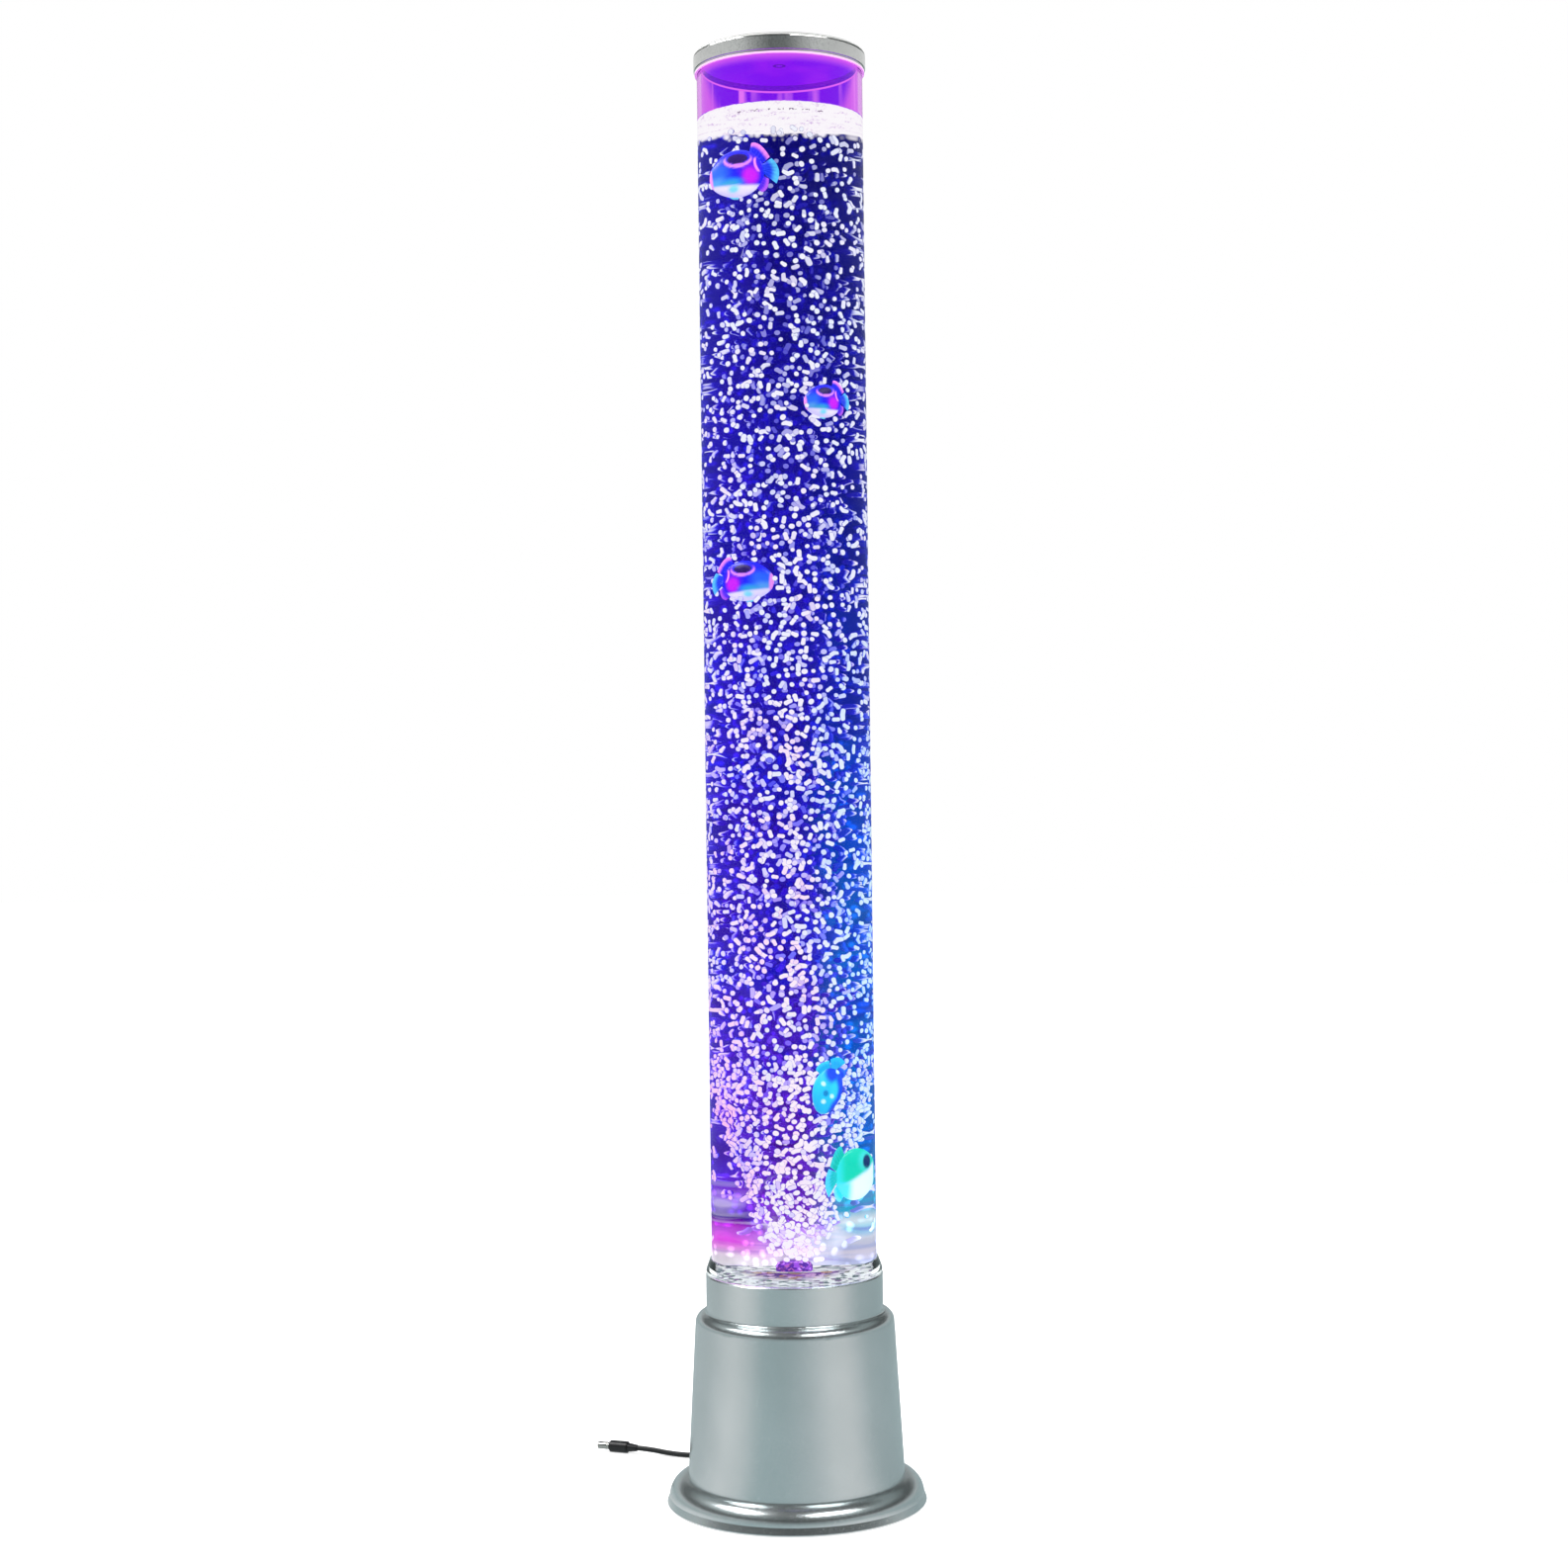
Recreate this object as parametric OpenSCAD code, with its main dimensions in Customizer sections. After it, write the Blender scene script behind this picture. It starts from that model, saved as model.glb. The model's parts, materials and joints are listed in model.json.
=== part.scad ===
// Bubble tube floor lamp: a clear water column on a round base that holds the air pump,
// the coloured lights and their controls, with five small fish floating in the water.
// Millimetres. The origin is on the floor under the middle of the base, +Z is up and
// the lamp is seen from the front, which faces -Y.

/* [Tube and tank] */
// Outer diameter of the clear tube
tube_od = 120; // [112:1:126]
// Wall of the clear tube
tube_wall = 3; // [2:0.5:4]
// Height of the whole lamp
total_h = 1050; // [900:10:1200]
// Depth of air between the water and the lid
air_gap = 40; // [30:1:60]
// Thickness of the tank floor
floor_t = 8; // [6:0.5:10]
// Room between the foot of the tube and the tank floor, for the nut of the air fitting
floor_lift = 7; // [6:0.5:9]
// Height of the clear ring round the foot of the tube
foot_ring_h = 11; // [8:0.5:14]

/* [Lid] */
// Height of the lid's rim
lid_h = 12; // [10:0.5:16]
// Thickness of the lid's top
lid_t = 4.2; // [3.5:0.1:5]
// Wall of the lid's rim
lid_rim_t = 1.85; // [1.5:0.05:2.5]
// Rounding of the lid's top edge
lid_round = 3; // [1:0.5:3.5]
// Radial play of the lid's rim round the tube
lid_play = 0.4; // [0.3:0.05:0.6]
// Height of the rubber band under the lid's rim
seal_h = 2.7; // [2:0.1:4]
// Radius of the filling hole in the lid
fill_r = 9; // [7:0.5:12]

/* [Base] */
// Height of the base up to its shoulder
base_h = 138.6; // [134:0.2:160]
// How far the base stands out past the collar, just under its shoulder
shoulder_out = 8.1; // [7.6:0.1:11]
// How much further it stands out just above its foot
body_flare = 6.4; // [4.5:0.1:9.5]
// Wall of the base moulding
base_wall = 2.5; // [2:0.1:3]
// Rounding of the shoulder
shoulder_round = 7.5; // [5:0.5:9]
// How far the foot's rounded roll stands out past the base
foot_out = 13.7; // [11:0.1:21]
// Rounding of the foot's roll
foot_round = 13; // [10:0.5:13]
// Height of the foot's roll
foot_h = 19.3; // [17:0.1:21]
// How far the foot's lower lip stands out from the roll
foot_lip = 1.8; // [1:0.1:3]
// Height of the lower lip's edge above the floor
foot_gap = 1; // [0.5:0.1:1.5]
// Wall of the collar that holds the tube
collar_t = 4.3; // [3.8:0.1:4.4]
// Height of the collar above the shoulder
collar_h = 28.4; // [24:0.2:34]
// Height of the rubber feet
feet_h = 3; // [2:0.2:4]
// Radius of the rubber feet
feet_r = 9; // [7:0.5:12]

/* [Air supply] */
// Diameter of the air stone
stone_d = 20; // [16:1:30]
// Height of the air stone
stone_h = 8; // [6:0.5:12]
// Outer radius of the air hose
hose_r = 4.2; // [3.8:0.1:5]
// Bore radius of the air hose
hose_bore_r = 2.7; // [2.5:0.1:3]
// Length of the pump case
pump_l = 64; // [62:0.5:66]
// Width of the pump case
pump_w = 44; // [43:0.5:48]
// Height of the pump case
pump_h = 38; // [38:0.5:40]
// Radius of the two bends in the lower air hose
bend_r = 8; // [7:0.5:9]

/* [Lights and controls] */
// Radius of the light board
led_board_r = 47; // [46:0.5:49]
// Number of lamps in the outer ring
led_outer_n = 12; // [6:1:16]
// Number of lamps in the inner ring
led_inner_n = 6; // [3:1:8]
// Width of the control board
board_w = 56; // [54:1:60]
// Height of the control board
board_h = 48; // [46:1:52]
// Height of the mode button above the floor
button_z = 80; // [76:1:90]
// Radius of the mode button
button_r = 5; // [4:0.5:5.5]

/* [Fish] */
// Length of the top fish
fish_1_len = 50; // [40:1:54]
// Height of the top fish
fish_1_h = 40; // [30:1:42]
// Depth of the top fish under the water line
fish_1_deep = 49; // [36:1:60]
// Length of the second fish
fish_2_len = 33; // [26:1:40]
// Height of the second fish
fish_2_h = 28; // [20:1:32]
// Depth of the second fish under the water line
fish_2_deep = 212; // [190:1:230]
// Length of the third fish
fish_3_len = 46; // [36:1:50]
// Height of the third fish
fish_3_h = 34; // [26:1:38]
// Depth of the third fish under the water line
fish_3_deep = 339; // [320:1:380]
// Length of the diving fish
fish_4_len = 43; // [36:1:48]
// Height of the diving fish
fish_4_h = 27; // [22:1:32]
// Height of the diving fish above the tank floor
fish_4_up = 143; // [130:1:160]
// Length of the lowest fish
fish_5_len = 50; // [40:1:54]
// Height of the lowest fish
fish_5_h = 44; // [34:1:48]
// Height of the lowest fish above the tank floor
fish_5_up = 76; // [60:1:84]
// Thickness of a fish
fish_t = 10; // [8:0.5:12]
// Least room between a fish and the tube
fish_room = 2.5; // [2:0.5:4]

/* [Lead] */
// Diameter of the low-voltage lead
lead_d = 4; // [3.5:0.1:4.2]
// Height of the lead's outlet above the floor
lead_z = 33; // [31:0.5:36]
// Room between the turns of the stored coil
coil_room = 0.45; // [0.45:0.05:0.7]
// Outer radius of the stored coil, at the middle of the lead
coil_r = 32; // [30:0.5:34]

/* [Hidden] */
$fn = 96;

// Clearances between mating pieces
glue_gap = 0.1;
slip_gap = 0.3;
touch_gap = 0.02;
screw_play = 0.05;
pin_play = 0.05;
cut = 1;
chamfer = 1;

// Levels of the base, the collar and the tank
shoulder_z = base_h - shoulder_round;
deck_z = base_h - base_wall;
collar_top = base_h + collar_h;
tube_seat = 11.4;
tube_z = base_h + tube_seat;
tube_r = tube_od / 2;
tube_ir = tube_r - tube_wall;
floor_z = tube_z + floor_lift;
floor_top = floor_z + floor_t;
collar_in_r = tube_ir - 5;
collar_r = tube_r + collar_t;
collar_fillet = 1.7;

// Lid
lid_z = total_h - lid_h;
lid_under = total_h - lid_t;
lid_r = tube_r + lid_play + lid_rim_t;
tube_top = lid_under - slip_gap;
spigot_h = 3.6;
spigot_t = 2.6;
seal_t = 1.5;
plug_head_r = fill_r + 3;
plug_head_t = 2;
plug_below = 4;
plug_slot = [fill_r * 1.5, 2, 1.2];
water_z = tube_top - air_gap + slip_gap;

// Base moulding
body_top_r = collar_r + shoulder_out;
body_low_r = body_top_r + body_flare;
foot_r = body_low_r + foot_out;
lip_t = 0.8;
foot_centre = [foot_r - foot_round, foot_h - foot_round];
foot_groove_x = body_low_r + 0.5;
deck_hole_r = led_board_r - 7;
plate_z = feet_h;
plate_t = 2.5;
plate_top = plate_z + plate_t;
plate_r = body_low_r - base_wall - 0.4;
plate_boss_r = 4.5;
plate_boss_at = plate_r - plate_boss_r - 2;
plate_rib = 3;
plate_boss_h = 20;
plate_screw_l = 14;
feet_at = 60;
vent_r = 1.5;
vent_n = 8;
vent_at = 32;

// Screws: radius of the shank, radius and height of the head
screw_r = 1.4;
screw_head_r = 2.7;
screw_head_t = 1.6;
small_head_r = 2.2;
small_head_t = 1.4;
collar_screw_at = (collar_in_r + collar_r) / 2;
collar_screw_l = 7;

// Light board
light_z = base_h;
light_t = 1.6;
light_hole_r = 9;
light_screw_at = led_board_r - 3.5;
light_boss_r = 3.2;
light_boss_h = 6;
lamp = [5, 5, 1.6];
lamp_outer_at = 32;
lamp_inner_at = 19;

// Air fitting through the tank floor
stud_r = 5.9;
fit_flange_r = 9;
fit_flange_t = 3;
fit_seal_t = 1;
barb_r = hose_bore_r - 0.1;
barb_l = 9;
air_bore_r = 1.3;
nipple_l = 4;
nut_af = 17;
nut_t = 5;
stud_z = floor_z - nut_t - 6;
fitting_top = floor_top + fit_seal_t + fit_flange_t;

// Pump: it stands beside the lamp's axis, and its outlet rises two bends away from it
outlet_x = 2 * bend_r;
pump_wall = 2;
mount_h = 6;
mount_r = 4;
mount_in = 6;
pump_z = plate_top + mount_h;
pump_top = pump_z + pump_h;
head_at = -10;
head_w = 24;
head_d = 10.7;
head_y = pump_w / 2 - pump_wall - slip_gap - head_d;
head_outlet_y = head_y + head_d / 2;
pump_at = [outlet_x - head_at, -head_outlet_y, 0];
arm_z = pump_z + 18.5;
arm_t = 2.4;
arm_h = 12;
pivot_x = -pump_l / 2 + 7;
pivot_r = 1.5;
hub_r = 3.4;
core_x1 = pump_l / 2 - pump_wall - 0.5;
core_l = 17;
core_x0 = core_x1 - core_l;
core_back = 3.5;
core_w = 26;
core_leg = 3;
core_h = 8;
magnet_gap = 1.5;
magnet = [7, 8, 12];
magnet_x = core_x0 - magnet_gap - magnet[0];
winding = [10, 18, 20];
winding_x = core_x0 + 2;
diaphragm_r = 10;
diaphragm_t = 2;
diaphragm_gap = 0.9;
chamber_r = 8;
post_r = 3;
post_in = 4.5;
pump_screw_r = 1.1;
pump_screw_l = 12;
cable_hole_r = 2;
cable_hole = [20, -14];

// Hoses and check valve
bend_h = 2 * bend_r;
hose_z = pump_top + 1.5;
bend_z = pump_top + barb_l + 2;
valve_z = bend_z + bend_h + barb_l + 1;
valve_h = 18;
valve_r = 7;
valve_chamber = [4.6, 6];
valve_seat_h = 5;
disc = [4.2, 1.6];

// Control board on bosses that stand in from the rear wall
function body_r(z) = body_low_r + (body_top_r - body_low_r) * (z - foot_h) / (shoulder_z - foot_h);
button_wall_y = sqrt(pow(body_r(button_z) - base_wall, 2) - pow(button_r + 1.5, 2));
button_flange_t = 1.5;
button_flange_y = button_wall_y - 0.5;
button_stem_r = 3;
button_stem_l = 6;
button_proud = 1.3;
button_travel = 1;
switch_body = [6, 3.5, 6];
switch_plunger = [1.7, 0.9];
switch_tip_y = button_flange_y - button_flange_t - button_stem_l - button_travel - 0.1;
board_t = 1.6;
board_y = switch_tip_y - switch_plunger[1] - switch_body[1];
board_boss_r = 3;
board_screw_r = 1.05;
board_screw_l = 7;
board_x = board_w / 2 - 5;
board_lo = button_z - board_h / 2 + 5;
board_hi = button_z + board_h / 2 - 5;
board_in_y = board_y - board_t;
socket = [8, 6, 6];
sockets = [[15, 17], [-15, -17], [0, -19]];
capacitor = [4, 10];
chip = [10, 2, 8];
wire_r = 1.3;

// Strain relief and lead
relief_r = lead_d / 2 + 3;
relief_hole_r = relief_r + 0.2;
relief_flange_r = relief_r + 2;
relief_flange_t = 2;
relief_tip_r = lead_d / 2 + 0.8;
relief_out_y = body_r(lead_z) + 0.5;
relief_in_y = sqrt(pow(body_r(lead_z) - base_wall, 2) - pow(relief_flange_r, 2)) - 0.3;

// Route of the lead from the strain relief down to the coil
run_path = [
    [0, 98, 33], [0, 102, 33], [0, 106, 32.8], [0, 110, 31.9], [0, 114, 30], [0, 117.5, 27.1],
    [0, 120.2, 23.6], [0, 122.6, 19.8], [0, 125.2, 15.8], [0, 128.3, 12.2], [0, 132, 9.4],
    [0, 136, 7.7], [0, 140, 7.05], [0, 144, 7.05]
];
// Route of the lead from the coil along the floor to the plug
tail_path = [
    [28, 116, 2.6], [24, 116, 2.6], [12, 115.8, 2.2], [0, 115.5, 2.1], [-12, 115.2, 2.1],
    [-24, 115, 2.1], [-36, 115, 2.1], [-48, 115.3, 2.1], [-60, 116, 2.1], [-72, 117.5, 2.1],
    [-84, 120, 2.1], [-93, 122.6, 2.3], [-102, 125.4, 3], [-111, 128.5, 4], [-120, 131.55, 4.6],
    [-124, 133, 4.6]
];
// Stored coil: two layers that spiral in on top, climb down and spiral out below
coil_at = [32, 148];
coil_turns = 8.75;
coil_steps = 24;
coil_pitch = lead_d + coil_room;
coil_low = lead_d / 2 + 0.6;
coil_mid = coil_turns / 2;
coil_top = coil_low + coil_pitch;
tie_w = 5;
tie_t = 0.6;
tie_gap = 0.3;

// Plug on the end of the lead
plug_turn = 160;
plug_neck_l = 8;
plug_body_r = 4.5;
plug_body_l = 15;
barrel_r = 2.75;
barrel_l = 9.5;
barrel_bore_r = 1.05;

function unit(v) = v / norm(v);
function ends(n, i) = [max(i - 1, 0), min(i + 1, n - 1)];
function tangent(p, i) = let (e = ends(len(p), i)) unit(p[e[1]] - p[e[0]]);
function ring_at(p, i, r, sides, up) =
    let (t = tangent(p, i), side = unit(cross(t, up)), top = cross(side, t))
    [for (k = [0:sides - 1]) p[i] + r * (cos(360 * k / sides) * side + sin(360 * k / sides) * top)];

// A closed tube of straight facets along the points of a path
module sweep(path, r, sides, up = [0, 0, 1]) {
    n = len(path);
    rings = [for (i = [0:n - 1]) each ring_at(path, i, r, sides, up)];
    skin = [for (i = [0:n - 2], k = [0:sides - 1])
        let (a = i * sides + k, b = i * sides + (k + 1) % sides)
        each [[a, b, a + sides], [b, b + sides, a + sides]]];
    caps = [for (k = [1:sides - 2])
        each [[0, k + 1, k], [(n - 1) * sides, (n - 1) * sides + k, (n - 1) * sides + k + 1]]];
    polyhedron(rings, concat(skin, caps));
}

module ring(r_in, r_out, z0, z1) {
    translate([0, 0, z0]) difference() {
        cylinder(r = r_out, h = z1 - z0);
        translate([0, 0, -cut]) cylinder(r = r_in, h = z1 - z0 + 2 * cut);
    }
}

module disc_at(r, z0, z1) {
    translate([0, 0, z0]) cylinder(r = r, h = z1 - z0);
}

// A cylinder along +Y from y0 to y1
module rod_y(r, y0, y1) {
    translate([0, y0, 0]) rotate([-90, 0, 0]) cylinder(r = r, h = y1 - y0);
}

module box(x0, x1, y0, y1, z0, z1) {
    translate([x0, y0, z0]) cube([x1 - x0, y1 - y0, z1 - z0]);
}

module around(n, at, first = 0) {
    for (i = [0:n - 1]) rotate([0, 0, first + i * 360 / n]) translate([at, 0, 0]) children();
}

module four(x, y) {
    for (sx = [-1, 1], sy = [-1, 1]) translate([sx * x, sy * y, 0]) children();
}

// Screw that points up, with its head's upper face at z = 0
module screw_up(r, l, head_r, head_t) {
    translate([0, 0, -head_t]) cylinder(r = head_r, h = head_t);
    translate([0, 0, -touch_gap]) cylinder(r = r, h = l + touch_gap);
}

// ---- Base ----

module base_outer_2d() {
    intersection() {
        union() {
            polygon([[0, 0], [body_low_r, 0], [body_low_r, foot_h], [body_top_r, shoulder_z],
                [0, shoulder_z]]);
            translate([body_top_r - shoulder_round, shoulder_z]) circle(shoulder_round);
            square([body_top_r - shoulder_round, base_h]);
            translate(foot_centre) circle(foot_round);
            polygon([[0, foot_gap], [foot_r + foot_lip - lip_t, foot_gap],
                [foot_r + foot_lip, foot_gap + lip_t], [foot_r, foot_centre[1]], [0, foot_centre[1]]]);
        }
        translate([0, foot_gap]) square([2 * foot_r, base_h]);
    }
}

module base_inner_2d() {
    low = body_low_r - base_wall;
    top = body_top_r - base_wall;
    polygon([[0, -cut], [low, -cut], [low, foot_h], [top, shoulder_z], [0, shoulder_z]]);
    translate([body_top_r - shoulder_round, shoulder_z]) circle(shoulder_round - base_wall);
    square([body_top_r - shoulder_round, deck_z]);
    square([deck_hole_r, base_h + cut]);
    intersection() {
        union() {
            translate(foot_centre) circle(foot_round - base_wall);
            square([foot_r - base_wall, foot_centre[1]]);
        }
        translate([foot_groove_x, -cut]) square([foot_r, base_h]);
    }
}

module board_bosses_at() {
    for (z = [board_lo, board_hi], x = [-board_x, board_x]) translate([x, 0, z])
        children();
}

module base_housing() {
    color("silver") difference() {
        union() {
            rotate_extrude() difference() {
                base_outer_2d();
                base_inner_2d();
            }
            around(4, plate_boss_at, 45) disc_at(plate_boss_r, plate_top, plate_top + plate_boss_h);
            around(4, 0, 45) box(plate_boss_at, body_low_r - base_wall / 2,
                -plate_rib / 2, plate_rib / 2, plate_top, plate_top + plate_boss_h - cut);
            around(3, light_screw_at, 90)
                disc_at(light_boss_r, deck_z - light_boss_h, deck_z + base_wall / 2);
            for (z = [board_lo, board_hi], x = [-board_x, board_x]) translate([x, 0, z])
                rod_y(board_boss_r, board_y, sqrt(pow(body_r(z) - base_wall / 2, 2) - x * x));
        }
        around(4, plate_boss_at, 45)
            disc_at(screw_r + screw_play, plate_top - cut, plate_top + plate_screw_l);
        around(3, light_screw_at, 90)
            disc_at(screw_r + screw_play, deck_z - light_boss_h + cut, base_h + cut);
        around(4, collar_screw_at, 45) disc_at(screw_r + slip_gap, deck_z - cut, base_h + cut);
        board_bosses_at() rod_y(board_screw_r + screw_play, board_y - cut, board_y + board_screw_l);
        translate([0, 0, lead_z]) rod_y(relief_hole_r, body_low_r / 2, body_low_r + cut);
        translate([0, 0, button_z]) rod_y(button_r + slip_gap, board_y, body_low_r + cut);
    }
}

module tube_collar() {
    color("silver") difference() {
        rotate_extrude() difference() {
            union() {
                polygon([[collar_in_r, base_h], [collar_r, base_h], [collar_r, collar_top - chamfer],
                    [collar_r - chamfer, collar_top], [collar_in_r, collar_top]]);
                difference() {
                    translate([collar_r - cut, base_h]) square([collar_fillet + cut, collar_fillet]);
                    translate([collar_r + collar_fillet, base_h + collar_fillet])
                        circle(collar_fillet - touch_gap);
                }
            }
            translate([0, tube_z]) square([tube_r + slip_gap, collar_h]);
        }
        around(4, collar_screw_at, 45)
            disc_at(screw_r + screw_play, base_h - cut, deck_z + collar_screw_l + slip_gap);
    }
}

module collar_screws() {
    color("dimgray") around(4, collar_screw_at, 45) translate([0, 0, deck_z])
        screw_up(screw_r, collar_screw_l, screw_head_r, screw_head_t);
}

module bottom_plate() {
    color("dimgray") difference() {
        disc_at(plate_r, plate_z, plate_top);
        around(4, plate_boss_at, 45) disc_at(screw_r + slip_gap, plate_z - cut, plate_top + cut);
        around(4, plate_boss_at, 45)
            disc_at(screw_head_r + slip_gap, plate_z - cut, plate_z + screw_head_t);
        around(vent_n, vent_at, 180 / vent_n) disc_at(vent_r, plate_z - cut, plate_top + cut);
    }
}

module plate_screws() {
    color("dimgray") around(4, plate_boss_at, 45) translate([0, 0, plate_z + screw_head_t])
        screw_up(screw_r, plate_screw_l - cut, screw_head_r, screw_head_t);
}

module rubber_feet() {
    color("black") around(4, feet_at) union() {
        disc_at(feet_r - chamfer / 2, 0, feet_h);
        disc_at(feet_r, chamfer / 2, feet_h);
    }
}

// ---- Tube and tank ----

module clear_tube() {
    color("lavender", 0.4) ring(tube_ir, tube_r, tube_z, tube_top);
}

module tube_foot_ring() {
    r = tube_r + glue_gap;
    color("gainsboro", 0.5) rotate_extrude() polygon([[r, collar_top + touch_gap],
        [collar_r - chamfer / 2, collar_top + touch_gap], [collar_r - chamfer / 4, collar_top + 2.5],
        [r + 1.2, collar_top + foot_ring_h - 0.6], [r + 0.5, collar_top + foot_ring_h],
        [r, collar_top + foot_ring_h]]);
}

module seal_groove_2d(r, depth) {
    translate([tube_ir - depth, floor_z + floor_t / 2 - r]) square([depth + cut, 2 * r]);
}

module tank_floor() {
    color("lightblue", 0.6) rotate_extrude() difference() {
        translate([stud_r + slip_gap, floor_z]) square([tube_ir - glue_gap - stud_r - slip_gap, floor_t]);
        seal_groove_2d(1.3, 2.4);
    }
}

module floor_seal() {
    color("dimgray") rotate_extrude()
        translate([tube_ir - 1.2, floor_z + floor_t / 2]) circle(1.1);
}

module lid() {
    color("silver") rotate_extrude() difference() {
        union() {
            difference() {
                union() {
                    translate([0, lid_z]) square([lid_r, lid_h - lid_round]);
                    translate([0, lid_z]) square([lid_r - lid_round, lid_h]);
                    translate([lid_r - lid_round, total_h - lid_round]) circle(lid_round);
                }
                translate([0, lid_z - cut]) square([tube_r + lid_play, lid_h - lid_t + cut]);
                translate([0, lid_z - lid_h]) square([2 * lid_r, lid_h]);
            }
            translate([tube_ir - lid_play - spigot_t, lid_under - spigot_h])
                square([spigot_t, spigot_h + cut]);
        }
        translate([0, lid_under - cut]) square([fill_r + glue_gap, lid_t + 2 * cut]);
        translate([0, total_h - plug_head_t]) square([plug_head_r + glue_gap, lid_t]);
    }
}

module lid_seal() {
    color("black") ring(tube_r + touch_gap, tube_r + seal_t, lid_z - slip_gap - seal_h, lid_z - slip_gap);
}

module fill_plug() {
    color("gray") difference() {
        union() {
            disc_at(fill_r, lid_under - plug_below, total_h);
            disc_at(plug_head_r, total_h - plug_head_t + touch_gap, total_h);
        }
        box(-plug_slot[0] / 2, plug_slot[0] / 2, -plug_slot[1] / 2, plug_slot[1] / 2,
            total_h - plug_slot[2], total_h + cut);
    }
}

// ---- Air supply ----

module air_stone() {
    z = fitting_top;
    r = stone_d / 2;
    color("rosybrown") difference() {
        rotate_extrude() polygon([[0, z], [r - 1.5, z], [r, z + 1.5], [r, z + stone_h - 3],
            [r - 1, z + stone_h - 1], [r - 3, z + stone_h], [0, z + stone_h]]);
        disc_at(barb_r + glue_gap, z - cut, z + nipple_l + slip_gap);
    }
}

module air_fitting() {
    color("white") difference() {
        union() {
            disc_at(stud_r, stud_z, floor_top + fit_seal_t + cut);
            disc_at(fit_flange_r, floor_top + fit_seal_t, fitting_top);
            disc_at(barb_r, fitting_top - cut, fitting_top + nipple_l);
            disc_at(barb_r, stud_z - barb_l, stud_z + cut);
        }
        disc_at(air_bore_r, stud_z - barb_l - cut, fitting_top + nipple_l + cut);
    }
}

module fitting_seal() {
    color("dimgray") ring(stud_r + glue_gap, fit_flange_r - 0.4, floor_top, floor_top + fit_seal_t);
}

module fitting_nut() {
    color("white") translate([0, 0, floor_z - nut_t]) difference() {
        cylinder(r = nut_af / 2 / cos(30), h = nut_t, $fn = 6);
        translate([0, 0, -cut]) cylinder(r = stud_r + glue_gap, h = nut_t + 2 * cut);
    }
}

module upper_hose() {
    color("ghostwhite") ring(hose_bore_r, hose_r, valve_z + valve_h + 0.5, stud_z - 0.5);
}

module valve_body() {
    color("palegreen") difference() {
        union() {
            disc_at(valve_r, valve_z, valve_z + valve_h);
            disc_at(barb_r, valve_z - barb_l, valve_z + cut);
            disc_at(barb_r, valve_z + valve_h - cut, valve_z + valve_h + barb_l);
        }
        disc_at(air_bore_r, valve_z - barb_l - cut, valve_z + valve_h + barb_l + cut);
        disc_at(valve_chamber[0], valve_z + valve_seat_h, valve_z + valve_seat_h + valve_chamber[1]);
    }
}

module valve_disc() {
    color("dimgray") disc_at(disc[0], valve_z + valve_seat_h + touch_gap,
        valve_z + valve_seat_h + touch_gap + disc[1]);
}

module hose_section_2d() {
    difference() {
        circle(hose_r);
        circle(hose_bore_r);
    }
}

// The hose rises from the pump's outlet and swings over to the lamp's axis
module lower_hose() {
    color("ghostwhite") {
        translate([outlet_x, 0, 0]) ring(hose_bore_r, hose_r, hose_z, bend_z);
        translate([outlet_x - bend_r, 0, bend_z]) rotate([90, 0, 0])
            rotate_extrude(angle = 90) translate([bend_r, 0]) hose_section_2d();
        translate([bend_r, 0, bend_z + bend_h]) rotate([90, 0, 0]) rotate([0, 0, 180])
            rotate_extrude(angle = 90) translate([bend_r, 0]) hose_section_2d();
        ring(hose_bore_r, hose_r, bend_z + bend_h, valve_z - 0.5);
    }
}

// ---- Pump ----

module pump_posts() {
    translate(pump_at) four(pump_l / 2 - post_in, pump_w / 2 - post_in) children();
}

module pump_case() {
    l = pump_l / 2;
    w = pump_w / 2;
    z = pump_z + pump_wall;
    color("gray") difference() {
        union() {
            translate(pump_at) difference() {
                box(-l, l, -w, w, pump_z, pump_top - pump_wall);
                box(pump_wall - l, l - pump_wall, pump_wall - w, w - pump_wall, z, pump_top + cut);
            }
            pump_posts() disc_at(post_r, z - cut, pump_top - pump_wall);
            translate(pump_at) {
                box(head_at - head_w / 2, head_at + head_w / 2, head_y, w - cut, z - cut,
                    arm_z - arm_h);
                box(core_x1 - core_back, core_x1, -core_w / 2, core_w / 2, z - cut, arm_z - core_h / 2);
                translate([pivot_x, 0, 0]) disc_at(hub_r, z - cut, arm_z - arm_h / 2 - slip_gap);
            }
        }
        pump_posts() disc_at(pump_screw_r + screw_play, pump_top - pump_wall - pump_screw_l,
            pump_top + cut);
        translate(pump_at) translate([pivot_x, 0, 0]) disc_at(pivot_r + pin_play, z, pump_top);
    }
}

module pump_cover() {
    l = pump_l / 2;
    w = pump_w / 2;
    z = pump_top - pump_wall;
    color("gray") difference() {
        translate(pump_at) {
            box(-l, l, -w, w, z, pump_top);
            translate([pivot_x, 0, 0]) disc_at(hub_r, arm_z + arm_h / 2 + slip_gap, z + cut);
        }
        pump_posts() disc_at(pump_screw_r + slip_gap, z - cut, pump_top + cut);
        translate(pump_at) {
            translate([head_at, head_outlet_y, 0]) disc_at(barb_r + 0.6, z - cut, pump_top + cut);
            translate(cable_hole) disc_at(cable_hole_r, z - cut, pump_top + cut);
            translate([pivot_x, 0, 0]) disc_at(pivot_r + pin_play, arm_z, z);
        }
    }
}

module pump_screws() {
    color("dimgray") pump_posts() translate([0, 0, pump_top]) mirror([0, 0, 1])
        screw_up(pump_screw_r, pump_screw_l, small_head_r, small_head_t);
}

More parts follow.
